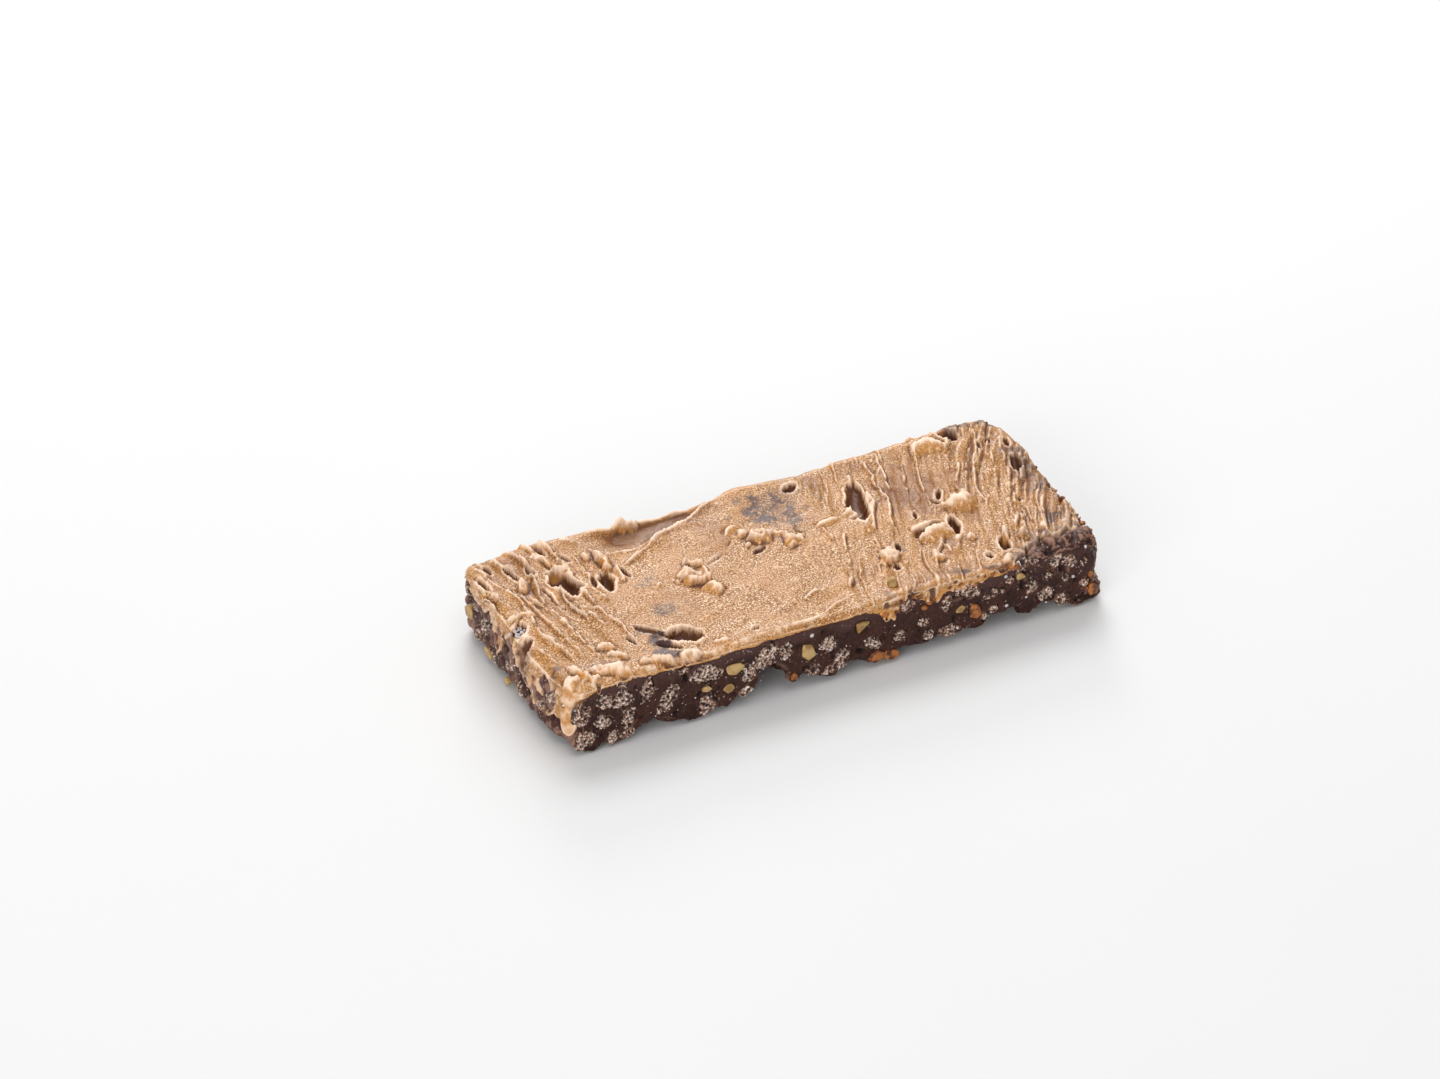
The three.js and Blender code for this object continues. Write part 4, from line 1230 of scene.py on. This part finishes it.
def palette_strokes(x, y):
    """Strokes lean one way near the left end, and more the other way on the right, where they lie closer."""
    lean = np.radians(-9 + 30 * smooth(-20, 12, x) + 11 * smooth(36, 47, x))
    left = (1 - smooth(-35.2, -33.0, x - 0.12 * np.maximum(y, 0))) * smooth(-15, -10, y)
    right = smooth(8.5, 11.5, x - 0.42 * np.minimum(y, 0))
    close = smooth(34, 40, x)
    patch = smooth(-0.1, 0.5, hills(flat(x, y), (5.0, 12.0, 1.0), 157))
    narrow = 0.25 * left * patch + right * np.maximum(0.27 * patch, 0.65 * close)
    height = (0.9 * left + 0.5 * right) * strokes(x, y, lean, 3.2, 14.0, 51)
    height += narrow * strokes(x, y, lean, 1.3, 9.0, 161)
    upright = flat(x - y * np.tan(lean), y)
    fine = hills(upright, (0.6, 7.0, 1.0), 59) + 0.9 * hills(upright, (1.2, 10.0, 1.0), 60)
    height += (0.10 * left + (0.07 + 0.12 * close) * right) * fine
    middle = (1 - left) * (1 - right)
    height += middle * 0.07 * hills(flat(x, y - 0.35 * x), (9.0, 1.3, 1.0), 151)
    return height


def front_tear(x):
    """Where the cream's front edge is torn, along the bar."""
    return stretch(x, 4, 8, 31, 34)


def spread_level(x, y):
    """The cream's top before the knife's marks: its rise at the two edges, and its slow waves."""
    spot = flat(x, y)
    front = along_list(x, FRONT_HEIGHTS) - MIDDLE_HEIGHT
    back = along_list(x, BACK_HEIGHTS) - MIDDLE_HEIGHT
    height = MIDDLE_HEIGHT + front * bell((y + HALF_WIDTH) / 4.5) + back * bell((HALF_WIDTH - y) / 6.0)
    height += 0.25 * hills(spot, 9.0, 61) + 0.10 * hills(spot, 3.4, 62)
    return height


def swoosh_relief(x, y):
    """The hollow and the recess behind the long swoosh, and the roll at the back edge beyond them. Gives
    their height, and how far points lie in the shaded recess."""
    spot = flat(x, y)
    gap, side, share = off_line(x, y, SWOOSH)
    behind = (side > 0) * smooth(0.0, 1.8, gap) * smooth(0.05, 0.4, share) * (1 - smooth(8, 11, gap))
    roll = bell((y - 20.1 + 0.4 * hills(spot, 3.0, 153)) / 1.0) * stretch(x, -30, -26, -8, -4)
    shade = bell((y - 17.6 - 0.12 * (x + 18)) / 1.7) * stretch(x, -28, -24, -12, -8)
    return 1.3 * roll * (0.85 + 0.4 * crumble(spot, 4.0, 154)) - 0.9 * behind - 0.6 * shade, shade


def ridge_relief(x, y, clear):
    """Height of the ridges where the cream is clear of lumps and pits, and where their crests get a painted
    highlight. A ridge is steep on its left side and runs out slowly on the other."""
    spot = flat(x, y)
    worn = np.clip(0.75 + 0.7 * crumble(spot, 2.6, 68), 0, 1.3)
    ragged = 0.35 * hills(spot, 3.4, 156) + 0.13 * crumble(spot, 1.5, 155)
    # Where the ridges' crests get a painted highlight.
    lit_here = smooth(-0.5, 0.2, hills(spot, 2.6, 159))
    height, glow = np.zeros(len(x)), np.zeros(len(x))
    for tall, half, line in CREAM_RIDGES:
        gap, side, share = off_line(x + ragged, y, line)
        slow = 0.3 * bell(gap / half) + 0.7 * np.exp(-gap / (3.4 * half))
        ridge = stretch(share, 0, 0.1, 0.85, 1) * worn * np.where(side > 0, bell(gap / (half * 0.5)), slow)
        height += 1.15 * tall * ridge * clear
        glow = np.maximum(glow, 0.6 * smooth(0.35, 0.9, ridge) * lit_here)
    return height, glow


def cream_top(x, y):
    """The cream's top at points in plan: its height, the side push of lumps and flaps, and its looks, among
    them painted highlights and painted shade.
    """
    spot = flat(x, y)
    fray = 0.16 * crumble(spot, 1.5, 64)
    lumps, lump_push, lump_painted_shade, lump_painted_highlight, on_lump = lump_relief(x, y, 2.5 * fray)
    flaps, flap_push, flap_painted_shade, flap_painted_highlight, on_flap = flap_relief(x, y)
    pits, torn = pit_relief(x, y)
    swoosh, shade = swoosh_relief(x, y)
    ridges, ridge_painted_highlight = ridge_relief(x, y, 1 - 0.95 * np.maximum(smooth(0, 0.3, torn), on_lump))
    lip = bell((y + 20.3 - 0.25 * hills(spot, 3.0, 69)) / 0.55) * smooth(-0.3, 0.5, hills(spot, 4.0, 70))
    height = spread_level(x, y) + swoosh
    height += palette_strokes(x, y) * (1 - 0.9 * most(on_lump, on_flap, torn))
    height += ridges + 0.25 * lip * crumble(spot, 1.5, 163) + lumps + flaps - pits
    over = np.maximum(height - PEAK_LEVEL, 0)
    height = np.maximum(height - over + 0.45 * np.tanh(over / 0.9), SLAB_TOP + 0.15 - dent(x, y))
    mottled = 0.4 + 0.8 * smooth(-0.3, 0.3, crumble(spot, 1.3, 67))
    clouded = (0.8 + 0.4 * hills(spot, 1.6, 158)) * (1 - on_lump)
    band = front_tear(x) * bell((y + 19.8) / 1.5) * smooth(-0.1, 0.35, crumble(spot, 1.5, 162))
    # Painted highlight in patches along the front lip.
    lip_painted_highlight = 0.8 * lip * smooth(-0.1, 0.6, crumble(spot, 2.0, 164)) * (1 - 0.8 * front_tear(x))
    looks = {
        "thin": patches(x, y, THIN_SPOTS, 2.5 * fray) * mottled,
        # Painted shade in the pits and in the shaded recess behind the swoosh.
        "torn": np.maximum(torn, 0.55 * shade),
        # Golden painted shade on the shaded faces of lumps and flaps and in the recess.
        "warm": most(lump_painted_shade, flap_painted_shade, 0.15 * shade),
        # Partly the cream's own deeper tone, partly painted shade, and the torn front band.
        "deep": np.maximum(patches(x, y, DEEP_TONE_AND_SHADE_SPOTS, 1.5 * fray) * clouded, band),
        # Painted highlights on lumps, ridges, flaps and the front lip.
        "glow": most(lump_painted_highlight, ridge_painted_highlight, lip_painted_highlight, flap_painted_highlight),
    }
    return height, lump_push + flap_push, looks


def patches(x, y, spots, fray):
    """How far points lie inside a list of soft spots, as place, half sizes and strength."""
    inside = np.zeros(len(x))
    for place_x, place_y, long, wide, strength in spots:
        away = np.hypot((x - place_x) / long, (y - place_y) / wide) * (1 + fray)
        inside = np.maximum(inside, strength * (1 - smooth(0.4, 1.1, away)))
    return inside


def lump_relief(x, y, fray):
    """Height and lean of the lumps, their golden painted shade away from the light and painted highlight on
    the lit side, and what they cover.
    """
    height, warm, glow, cover = (np.zeros(len(x)) for _ in range(4))
    push = np.zeros((len(x), 2))
    crease = 1 - 2 * np.abs(hills(flat(x, y), 3.4, 66))
    peaks = 0.8 + 0.3 * crease + 0.42 * crumble(flat(x, y), 1.35, 73)
    for place_x, place_y, long, wide, rise, turn, lean in CREAM_LUMPS:
        _, across, reach = in_oval(x, y, place_x, place_y, long, wide, turn, fray)
        body = np.clip(1 - reach**2, 0, 1)
        swell = body**0.8 * (1 + lean * np.clip(across, -1, 1)) * peaks
        height += 1.2 * rise * swell
        angle = math.radians(turn + 90)
        push += (0.5 * lean * swell**2)[:, None] * [math.cos(angle), math.sin(angle)]
        lit = ((x - place_x) * LIT_SIDE[0] + (y - place_y) * LIT_SIDE[1]) / (wide / 2)
        # Golden painted shade on the side away from the light, and a painted highlight on the lit side.
        warm = np.maximum(warm, 0.75 * smooth(0, 0.6, body) * smooth(0.1, -0.9, lit + 0.8 * fray))
        glow = np.maximum(glow, 1.4 * smooth(0, 0.4, body) * smooth(-0.5, 0.6, lit + 0.8 * fray))
        cover = np.maximum(cover, smooth(0, 0.3, body))
    return height, push, warm, glow, cover


def flap_relief(x, y):
    """The same for the flaps: a smooth face with golden painted shade that rises to a torn crest with a
    painted highlight, with a hollow behind it.
    """
    height, warm, glow, cover = (np.zeros(len(x)) for _ in range(4))
    push = np.zeros((len(x), 2))
    for place_x, place_y, long, wide, rise, turn, bow in CREAM_FLAPS:
        along, across, _ = in_oval(x, y, place_x, place_y, long, wide, turn, 0)
        crest = 0.45 + bow * (along**2 - 0.35) + 0.16 * crumble(flat(x, y), 1.3, 71)
        spread = np.clip(1 - along**2, 0, 1) ** 0.6
        ramp = smooth(-1.1, 0, across - crest) * (1 - smooth(0.0, 0.3, across - crest))
        dip = bell((across - crest - 0.45) / 0.25)
        height += 1.15 * rise * spread * (ramp - 0.5 * dip)
        angle = math.radians(turn + 90)
        push += (0.4 * rise * spread * ramp**3)[:, None] * [math.cos(angle), math.sin(angle)]
        # Golden painted shade on the face below the crest, and a painted highlight along the crest.
        warm = np.maximum(warm, 0.45 * spread * bell((across - crest + 0.5) / 0.45))
        glow = np.maximum(glow, spread * bell((across - crest + 0.06) / 0.22))
        cover = np.maximum(cover, spread * smooth(-0.9, -0.5, across - crest) * (across - crest < 0.6))
    return height, push, warm, glow, cover


def dent(x, y):
    """How far the deepest pits reach into the slab."""
    return 0.6 * np.clip(pit_relief(x, y)[0] - 0.3, 0, 1.6)


def pit_relief(x, y):
    """Depth of the pits under their raised rims, and how far in them points lie."""
    depth_here, torn = np.zeros(len(x)), np.zeros(len(x))
    fray = 0.17 * crumble(flat(x, y), 1.5, 64)
    for place_x, place_y, long, wide, depth, turn in CREAM_PITS:
        along, _, reach = in_oval(x, y, place_x, place_y, long, wide, turn, fray)
        bowl = np.clip(1 - reach**2, 0, 1) ** 0.5
        depth_here += 1.3 * depth * bowl * (1 - 0.25 * along)
        depth_here -= 0.18 * bell((reach - 1.14) / 0.18) * smooth(-0.3, 0.5, hills(flat(x, y), 1.4, 72))
        torn = np.maximum(torn, bowl)
    return depth_here, torn


# The cream's peaks are rounded off above this height.
PEAK_LEVEL = 14.6

# The grid of the cream's top, the steps of its skirt, and the share of those that hang. The others turn in.
CREAM_ALONG = 520
CREAM_ACROSS = 132
SKIRT_STEPS = 19
HUNG_SHARE = 0.8

# The cream's own underside lies out of sight inside the slab.
CAP_LEVEL = 9.4

# How low the cream hangs down the left end, from the front edge to the back.
HEM_HEIGHTS = [
    (-21, 10.8), (-20.3, 5.8), (-19.4, 3.2), (-18, 3.2), (-17, 4.8), (-15.4, 5.2), (-13.5, 4.2),
    (-11, 3.4), (-8.6, 3.4), (-6, 4.4), (-3.4, 6.2), (-1, 7.8), (2, 8.4), (3.8, 8), (4.8, 5), (5.8, 3.4),
    (6.8, 5), (8.2, 8.6), (12, 9.4), (16, 10), (21, 11.2),
]

# The cream's own edges across the bar.
RIM = HALF_WIDTH - 0.05

# Where the hanging cream is smeared away to the chocolate: place across the bar, height, half sizes and
# strength.
SMEARED = [
    (-13.2, 8.2, 2.2, 4.2, 1.0),
    (-10.4, 5.0, 2.6, 2.4, 0.9),
    (-6.6, 4.0, 2.2, 1.8, 0.8),
    (-3.0, 6.8, 1.8, 1.6, 0.8),
    (0.6, 8.6, 2.4, 2.6, 0.9),
    (3.4, 7.0, 1.2, 2.6, 0.7),
    (9.4, 9.6, 2.0, 1.8, 0.9),
    (13.4, 10.2, 2.6, 2.0, 0.9),
    (18.4, 10.6, 2.4, 2.0, 0.9),
]


def at_bank(x, y, height, thin):
    """Thins the cream out beside the bank of bare chocolate and takes it below the chocolate's face there.
    Gives its height, where it is thin, and what the bank covers."""
    past_bank = along_list(x, BANK_LINE) - y + 0.9 * crumble(flat(x, y), 2.2, 81)
    bank = smooth(-0.4, 0.5, past_bank) * (x > 30)
    near_bank = bell(past_bank / 2.0) * smooth(31, 34, x)
    thin = np.maximum(thin, 0.8 * near_bank * smooth(-0.3, 0.3, hills(flat(x, y), 0.9, 85)))
    height = height - 0.35 * near_bank
    return height - (height - SLAB_TOP + 1.2) * bank, thin, bank


def lower_rim(x, y, v, height, on_left, on_right):
    """How low the cream reaches over the slab's edges: a ragged front rim, a back rim tucked in behind the
    slab, a drape over the left end and a short rim at the right end."""
    hem = along_list(y, HEM_HEIGHTS) + 0.45 * crumble(flat(y, y * 0), 2.2, 82)
    rim = along_list(x, FRONT_RIM) + 0.4 * crumble(flat(x, y), 2.4, 83)
    rim += 0.4 * front_tear(x) * crumble(flat(x, y), 1.3, 89)
    tucked = np.minimum(height - 1.2, SLAB_TOP - 0.1) + 0.3 * crumble(flat(x, y), 1.8, 84)
    rim = np.where(v > 0, tucked, rim)
    low = rim * (1 - on_left) + hem * on_left
    low = low * (1 - on_right) + (SLAB_TOP + 0.4) * on_right
    return np.minimum(low, height - 0.3)


def drape_relief(x, y, z, v, drop, on_left, lobe):
    """How far the hanging cream stands out of the slab, and where it is smeared thin over the chocolate."""
    part = np.clip(drop / HUNG_SHARE, 0, 1)
    swell = np.sin(np.pi * np.clip(part * 0.85, 0, 1)) ** 0.7
    side_spot = np.column_stack([x * 0, y, z])
    folds = hills(side_spot, (1.0, 2.0, 5.0), 74) + 0.9 * crumble(side_spot, 1.5, 75)
    front_crumbs = (0.18 + 0.18 * front_tear(x)) * np.minimum(crumble(flat(x, z), 1.1, 86), 0.3)
    streak = crumble(np.column_stack([y * 0, y + 0.6 * z, z]), np.array([1.0, 1.2, 3.4]), 76)
    smeared = smooth(0.35, 0.85, 0.8 * streak + 0.9 * patches(y, z, SMEARED, 0.2 * streak))
    side_thin = on_left * smooth(0.05, 0.3, part) * smeared * 0.9 * (1 - lobe)
    front_thin = front_tear(x) * (v < 0) * 0.85 * smooth(0.1, 0.45, hills(flat(x, z), 1.1, 87))
    over_edges = (0.08 + 0.14 * (v > 0) + front_crumbs) * (1 - on_left)
    over_end = on_left * (0.25 + 0.35 * np.clip(folds, -0.8, 1) + 0.35 * lobe)
    out = swell * (over_edges + over_end)
    out -= 0.9 * side_thin + 0.35 * front_thin + 1.5 * smooth(0.84, 1.0, drop)
    return out, np.maximum(side_thin, front_thin)


def edge_looks(looks, x, y, v, drop, on_left, lobe, tear, smeared, skin):
    """Changes the looks of the hanging cream, which is golden, with a painted highlight in patches high on
    its front rim, and of the cream's back and front edges. The skin is where the hanging cream was before its
    relief."""
    part = np.clip(drop / HUNG_SHARE, 0, 1)
    hanging = drop > 0
    edge_spot = skin + flat(x, y)
    low_rim = smooth(0.25, 0.7, part) * (1 - on_left) * (v < 0)
    pale = 0.8 * smooth(-0.5, 0.2, hills(edge_spot, 2.4, 90))
    # Painted highlight in patches high on the front rim.
    painted_rim_highlight = pale * (1 - smooth(0.2, 0.5, part)) * (1 - on_left) * (1 - 0.8 * tear) * (v < 0)
    golden = 0.1 + 0.1 * tear + 0.5 * low_rim + 0.45 * crumble(edge_spot, 1.8, 88) + 0.4 * lobe
    worn_back = smooth(-0.5, 0.2, hills(flat(x, y), 4.0, 77) + 0.8 * bell((x + 16) / 14))
    back_rim = bell((y - 20.8) / 1.0) * worn_back
    worn_front = smooth(-0.1, 0.4, hills(flat(x, y), 2.2, 78))
    front_band = bell((y + 20.6) / 1.0) * worn_front * (0.4 + 0.6 * smooth(2, 8, x))
    warm = np.where(hanging, golden, looks["warm"])
    return {
        "deep": looks["deep"],
        "torn": looks["torn"],
        "glow": np.where(hanging, np.maximum(looks["glow"], painted_rim_highlight), looks["glow"]),
        "thin": np.where(hanging, np.maximum(smeared, looks["thin"] * (1 - part)), looks["thin"]),
        "warm": most(warm, (0.9 - 0.5 * hanging) * back_rim, 0.35 * front_band),
        "hung": on_left * hanging,
    }


def cream_form(raw):
    """Lays a flat grid with a hanging skirt over the slab: the grid is the top, the skirt its rims and
    drape."""
    u, v, drop = raw[:, 0], raw[:, 1], -raw[:, 2] / SKIRT_STEPS
    y = v * RIM
    left_end, right_end = along_list(y, LEFT_END) + 0.2, along_list(y, RIGHT_END) - 0.2
    x = left_end + (right_end - left_end) * (u + 1) / 2
    x += 0.25 * hills(flat(x, y), 2.5, 80) * smooth(0.9, 1.0, np.abs(u))
    height, push, looks = cream_top(x, y)
    inset = np.minimum(np.minimum(x - left_end, right_end - x), RIM - np.abs(y))
    height -= 0.6 * (1 - smooth(0, 1.7, inset)) ** 2
    height, looks["thin"], bank = at_bank(x, y, height, looks["thin"])
    edge = smooth(0, 0.6, inset)
    x, y = x + push[:, 0] * edge, y + push[:, 1] * edge + 2.2 * bank * smooth(0.9, 1.0, -v)
    corner = 0.94 + 0.03 * (v < -0.999)
    on_left, on_right = smooth(corner, corner + 0.03, -u), smooth(0.97, 1.0, u)
    low = lower_rim(x, y, v, height, on_left, on_right)
    part = np.clip(drop / HUNG_SHARE, 0, 1)
    z = height - (height - low) * (0.5 * smooth(0, 1, part) + 0.5 * part)
    skin = np.column_stack([x * 0, y, z])
    lobe, tear = on_left * bell((y + 19.0) / 1.5), front_tear(x)
    out, smeared = drape_relief(x, y, z, v, drop, on_left, lobe)
    out = np.where(drop > 0, out, 0)
    way = flat(np.sign(u) * smooth(0.955, 1.0, np.abs(u)), np.sign(v) * smooth(0.9, 1.0, np.abs(v)))
    way /= np.maximum(np.linalg.norm(way, axis=1), 1e-6)[:, None]
    x, y = x + way[:, 0] * out, y + way[:, 1] * out
    closed = smooth(0.95, 1.0, drop)
    z = np.where(drop > 0, z * (1 - closed) + CAP_LEVEL * closed, height)
    return np.column_stack([x, y, z]), edge_looks(looks, x, y, v, drop, on_left, lobe, tear, smeared, skin)


def cream_mesh():
    """The cream as one mesh, marked for its looks: crests get a painted highlight and hollows painted shade.
    """
    mesh = mesh_from("nut_cream", skirted_grid(CREAM_ALONG, CREAM_ACROSS, SKIRT_STEPS))
    points, looks = cream_form(places(mesh) * MM)
    put(mesh, points)
    fine, broad = stand_out(mesh, 5), stand_out(mesh, 40)
    # Painted highlight where the cream stands out, and on lit lumps, ridges, flaps and rims.
    high = 0.65 * smooth(0.03, 0.16, fine) + 0.4 * smooth(0.15, 0.8, broad) + 0.6 * looks["glow"]
    torn = smooth(0, 0.5, looks["torn"])
    # Painted shade in hollows, pits and the recess.
    low = 0.8 * smooth(0.03, 0.16, -fine) + 0.75 * smooth(0.1, 0.6, -broad) + 0.75 * torn
    mark(mesh, "crest", np.clip(high * (1 - 0.3 * looks["hung"]), 0, 1))
    mark(mesh, "hollow", np.clip(low, 0, 1))
    for name in ("thin", "deep", "warm"):
        mark(mesh, name, np.clip(looks[name], 0, 1))
    return mesh


# Sugar: the larger crystals in the front face, as place along the bar, height and size, and a fine scatter.
CRYSTALS = [
    (-2.8, 6.9, 1.35),
    (-6.3, 10.7, 1.0),
    (31.2, 4.9, 0.8),
    (35.0, 5.5, 0.6),
    (44.3, 6.8, 0.6),
    (39.1, 3.1, 0.4),
    (-37.0, 12.5, 0.6),
    (-5.2, 3.3, 0.7),
    (8.2, 9.6, 0.5),
    (9.4, 7.7, 0.4),
    (14.6, 6.4, 0.5),
    (46.4, 12.3, 0.6),
    (-21.4, 12.4, 0.5),
    (-27.9, 5.0, 0.35),
    (-30.3, 4.7, 0.35),
    (-35.2, 3.7, 0.35),
    (30.8, 11.0, 0.7),
]


# How many crystals are scattered over each long face, and how many lie in the cluster on the left end.
SCATTERED = 110
CLUSTERED = 30
SUGAR_CLUSTER = (-50.3, -0.5, 12.3)


def crystal(whole, place, size):
    """One small crystal, of a few faces."""
    angles = [random.uniform(0, math.pi) for _ in range(3)]
    sizes = [size * random.uniform(0.7, 1.1) * MM for _ in range(3)]
    matrix = turned(Vector(place) * MM, sizes, angles)
    bmesh.ops.create_icosphere(whole, subdivisions=1, radius=0.55, matrix=matrix)


def sugar_mesh():
    """All the sugar as one mesh: balls in the front face, a scatter over both long faces, and the cluster."""
    sugar = bmesh.new()
    for x, z, size in CRYSTALS:
        middle = Matrix.Translation(Vector((x, -CUT_FACE + 0.3 * size, z)) * MM)
        bmesh.ops.create_icosphere(sugar, subdivisions=3, radius=0.5 * size * MM, matrix=middle)
    for side in (-1, 1):
        for _ in range(SCATTERED):
            x, z = random.uniform(-46, 47), random.uniform(2.4, 11.6)
            crystal(sugar, (x, side * (CUT_FACE - 0.03), z), random.uniform(0.12, 0.26))
    cluster_x, cluster_y, cluster_z = SUGAR_CLUSTER
    for _ in range(CLUSTERED):
        place = cluster_x + random.gauss(0, 0.6), cluster_y + random.gauss(0, 0.9), cluster_z
        crystal(sugar, place, random.uniform(0.3, 0.7))
    return mesh_from("sugar_crystals", sugar)


def dress():
    """Makes every piece and hangs it on the frame."""
    slab = show("chocolate_slab", slab_mesh(), chocolate_finish())
    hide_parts("crisped_rice_slab")
    show("puffed_rice", rice_mesh(), crisped_rice_finish())
    nuts = nut_finish("chopped roasted nut", "c4a36a", "96703e", 2.2)
    show("chopped_nuts", nuts_mesh(), nuts)
    roasted = nut_finish("dark roasted bits", "b06b30", "4e2314", 1.3)
    show("roasted_bits", roasted_mesh(), roasted)
    show("sugar_crystals", sugar_mesh(), sugar_finish())
    cream = show("nut_cream_spread", cream_mesh(), nut_cream_finish())
    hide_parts("nut_cream")


# The photograph's view: a long lens from the front left.
LENS = 100.0
SENSOR = 36.0
AZIMUTH = -26.59
ELEVATION = 34.34
DISTANCE = 687.5
SHIFT_RIGHT = -11.58
SHIFT_UP = 12.67


def camera():
    """The camera of the photograph."""
    a, e = math.radians(AZIMUTH), math.radians(ELEVATION)
    back = Vector((math.sin(a) * math.cos(e), -math.cos(a) * math.cos(e), math.sin(e)))
    right = Vector((math.cos(a), math.sin(a), 0))
    up = back.cross(right)
    lens = bpy.data.cameras.new("long lens")
    lens.lens = LENS
    lens.sensor_width = SENSOR
    lens.clip_end = 20
    eye = bpy.data.objects.new("camera", lens)
    turn = Matrix((right, up, back)).transposed().to_4x4()
    eye.matrix_world = Matrix.Translation((back * DISTANCE + right * SHIFT_RIGHT + up * SHIFT_UP) * MM) @ turn
    bpy.context.scene.collection.objects.link(eye)
    bpy.context.scene.camera = eye


# The lights, as name, place and size in metres, and watts.
LIGHTS = [
    ("main light from behind", (0.20, 0.54, 0.82), 0.60, 4.8),
    ("fill light overhead", (-0.10, -0.22, 0.98), 0.8, 2.4),
    ("low fill from the front left", (-0.78, -0.62, 0.30), 0.8, 5.0),
    ("low light behind", (0.30, 0.78, 0.38), 0.30, 2.2),
]

# How bright the white walls all round are.
ROOM_LIGHT = 0.39

# Half the floor's side, in metres.
FLOOR_HALF = 4


def soft_light(name, place, size, watts):
    """A round soft light that faces the bar."""
    lamp = bpy.data.lights.new(name, "AREA")
    lamp.shape = "DISK"
    lamp.size = size
    lamp.energy = watts
    light = bpy.data.objects.new(name, lamp)
    light.location = place
    light.rotation_euler = (-Vector(place)).to_track_quat("-Z", "Y").to_euler()
    bpy.context.scene.collection.objects.link(light)


def studio():
    """White paper, a main light from behind, fills overhead and from the front left, and white all round."""
    bm = bmesh.new()
    bmesh.ops.create_grid(bm, x_segments=4, y_segments=4, size=FLOOR_HALF)
    mesh = mesh_from("floor", bm)
    mesh.materials.append(paper_finish())
    floor = bpy.data.objects.new("floor", mesh)
    bpy.context.scene.collection.objects.link(floor)
    for name, place, size, watts in LIGHTS:
        soft_light(name, place, size, watts)
    world = bpy.data.worlds.new("white studio")
    world.use_nodes = True
    walls = world.node_tree.nodes["Background"]
    walls.inputs["Color"].default_value = (1.0, 1.0, 1.0, 1.0)
    walls.inputs["Strength"].default_value = ROOM_LIGHT
    bpy.context.scene.world = world
    bpy.context.scene.view_settings.view_transform = "Standard"


dress()
studio()
camera()
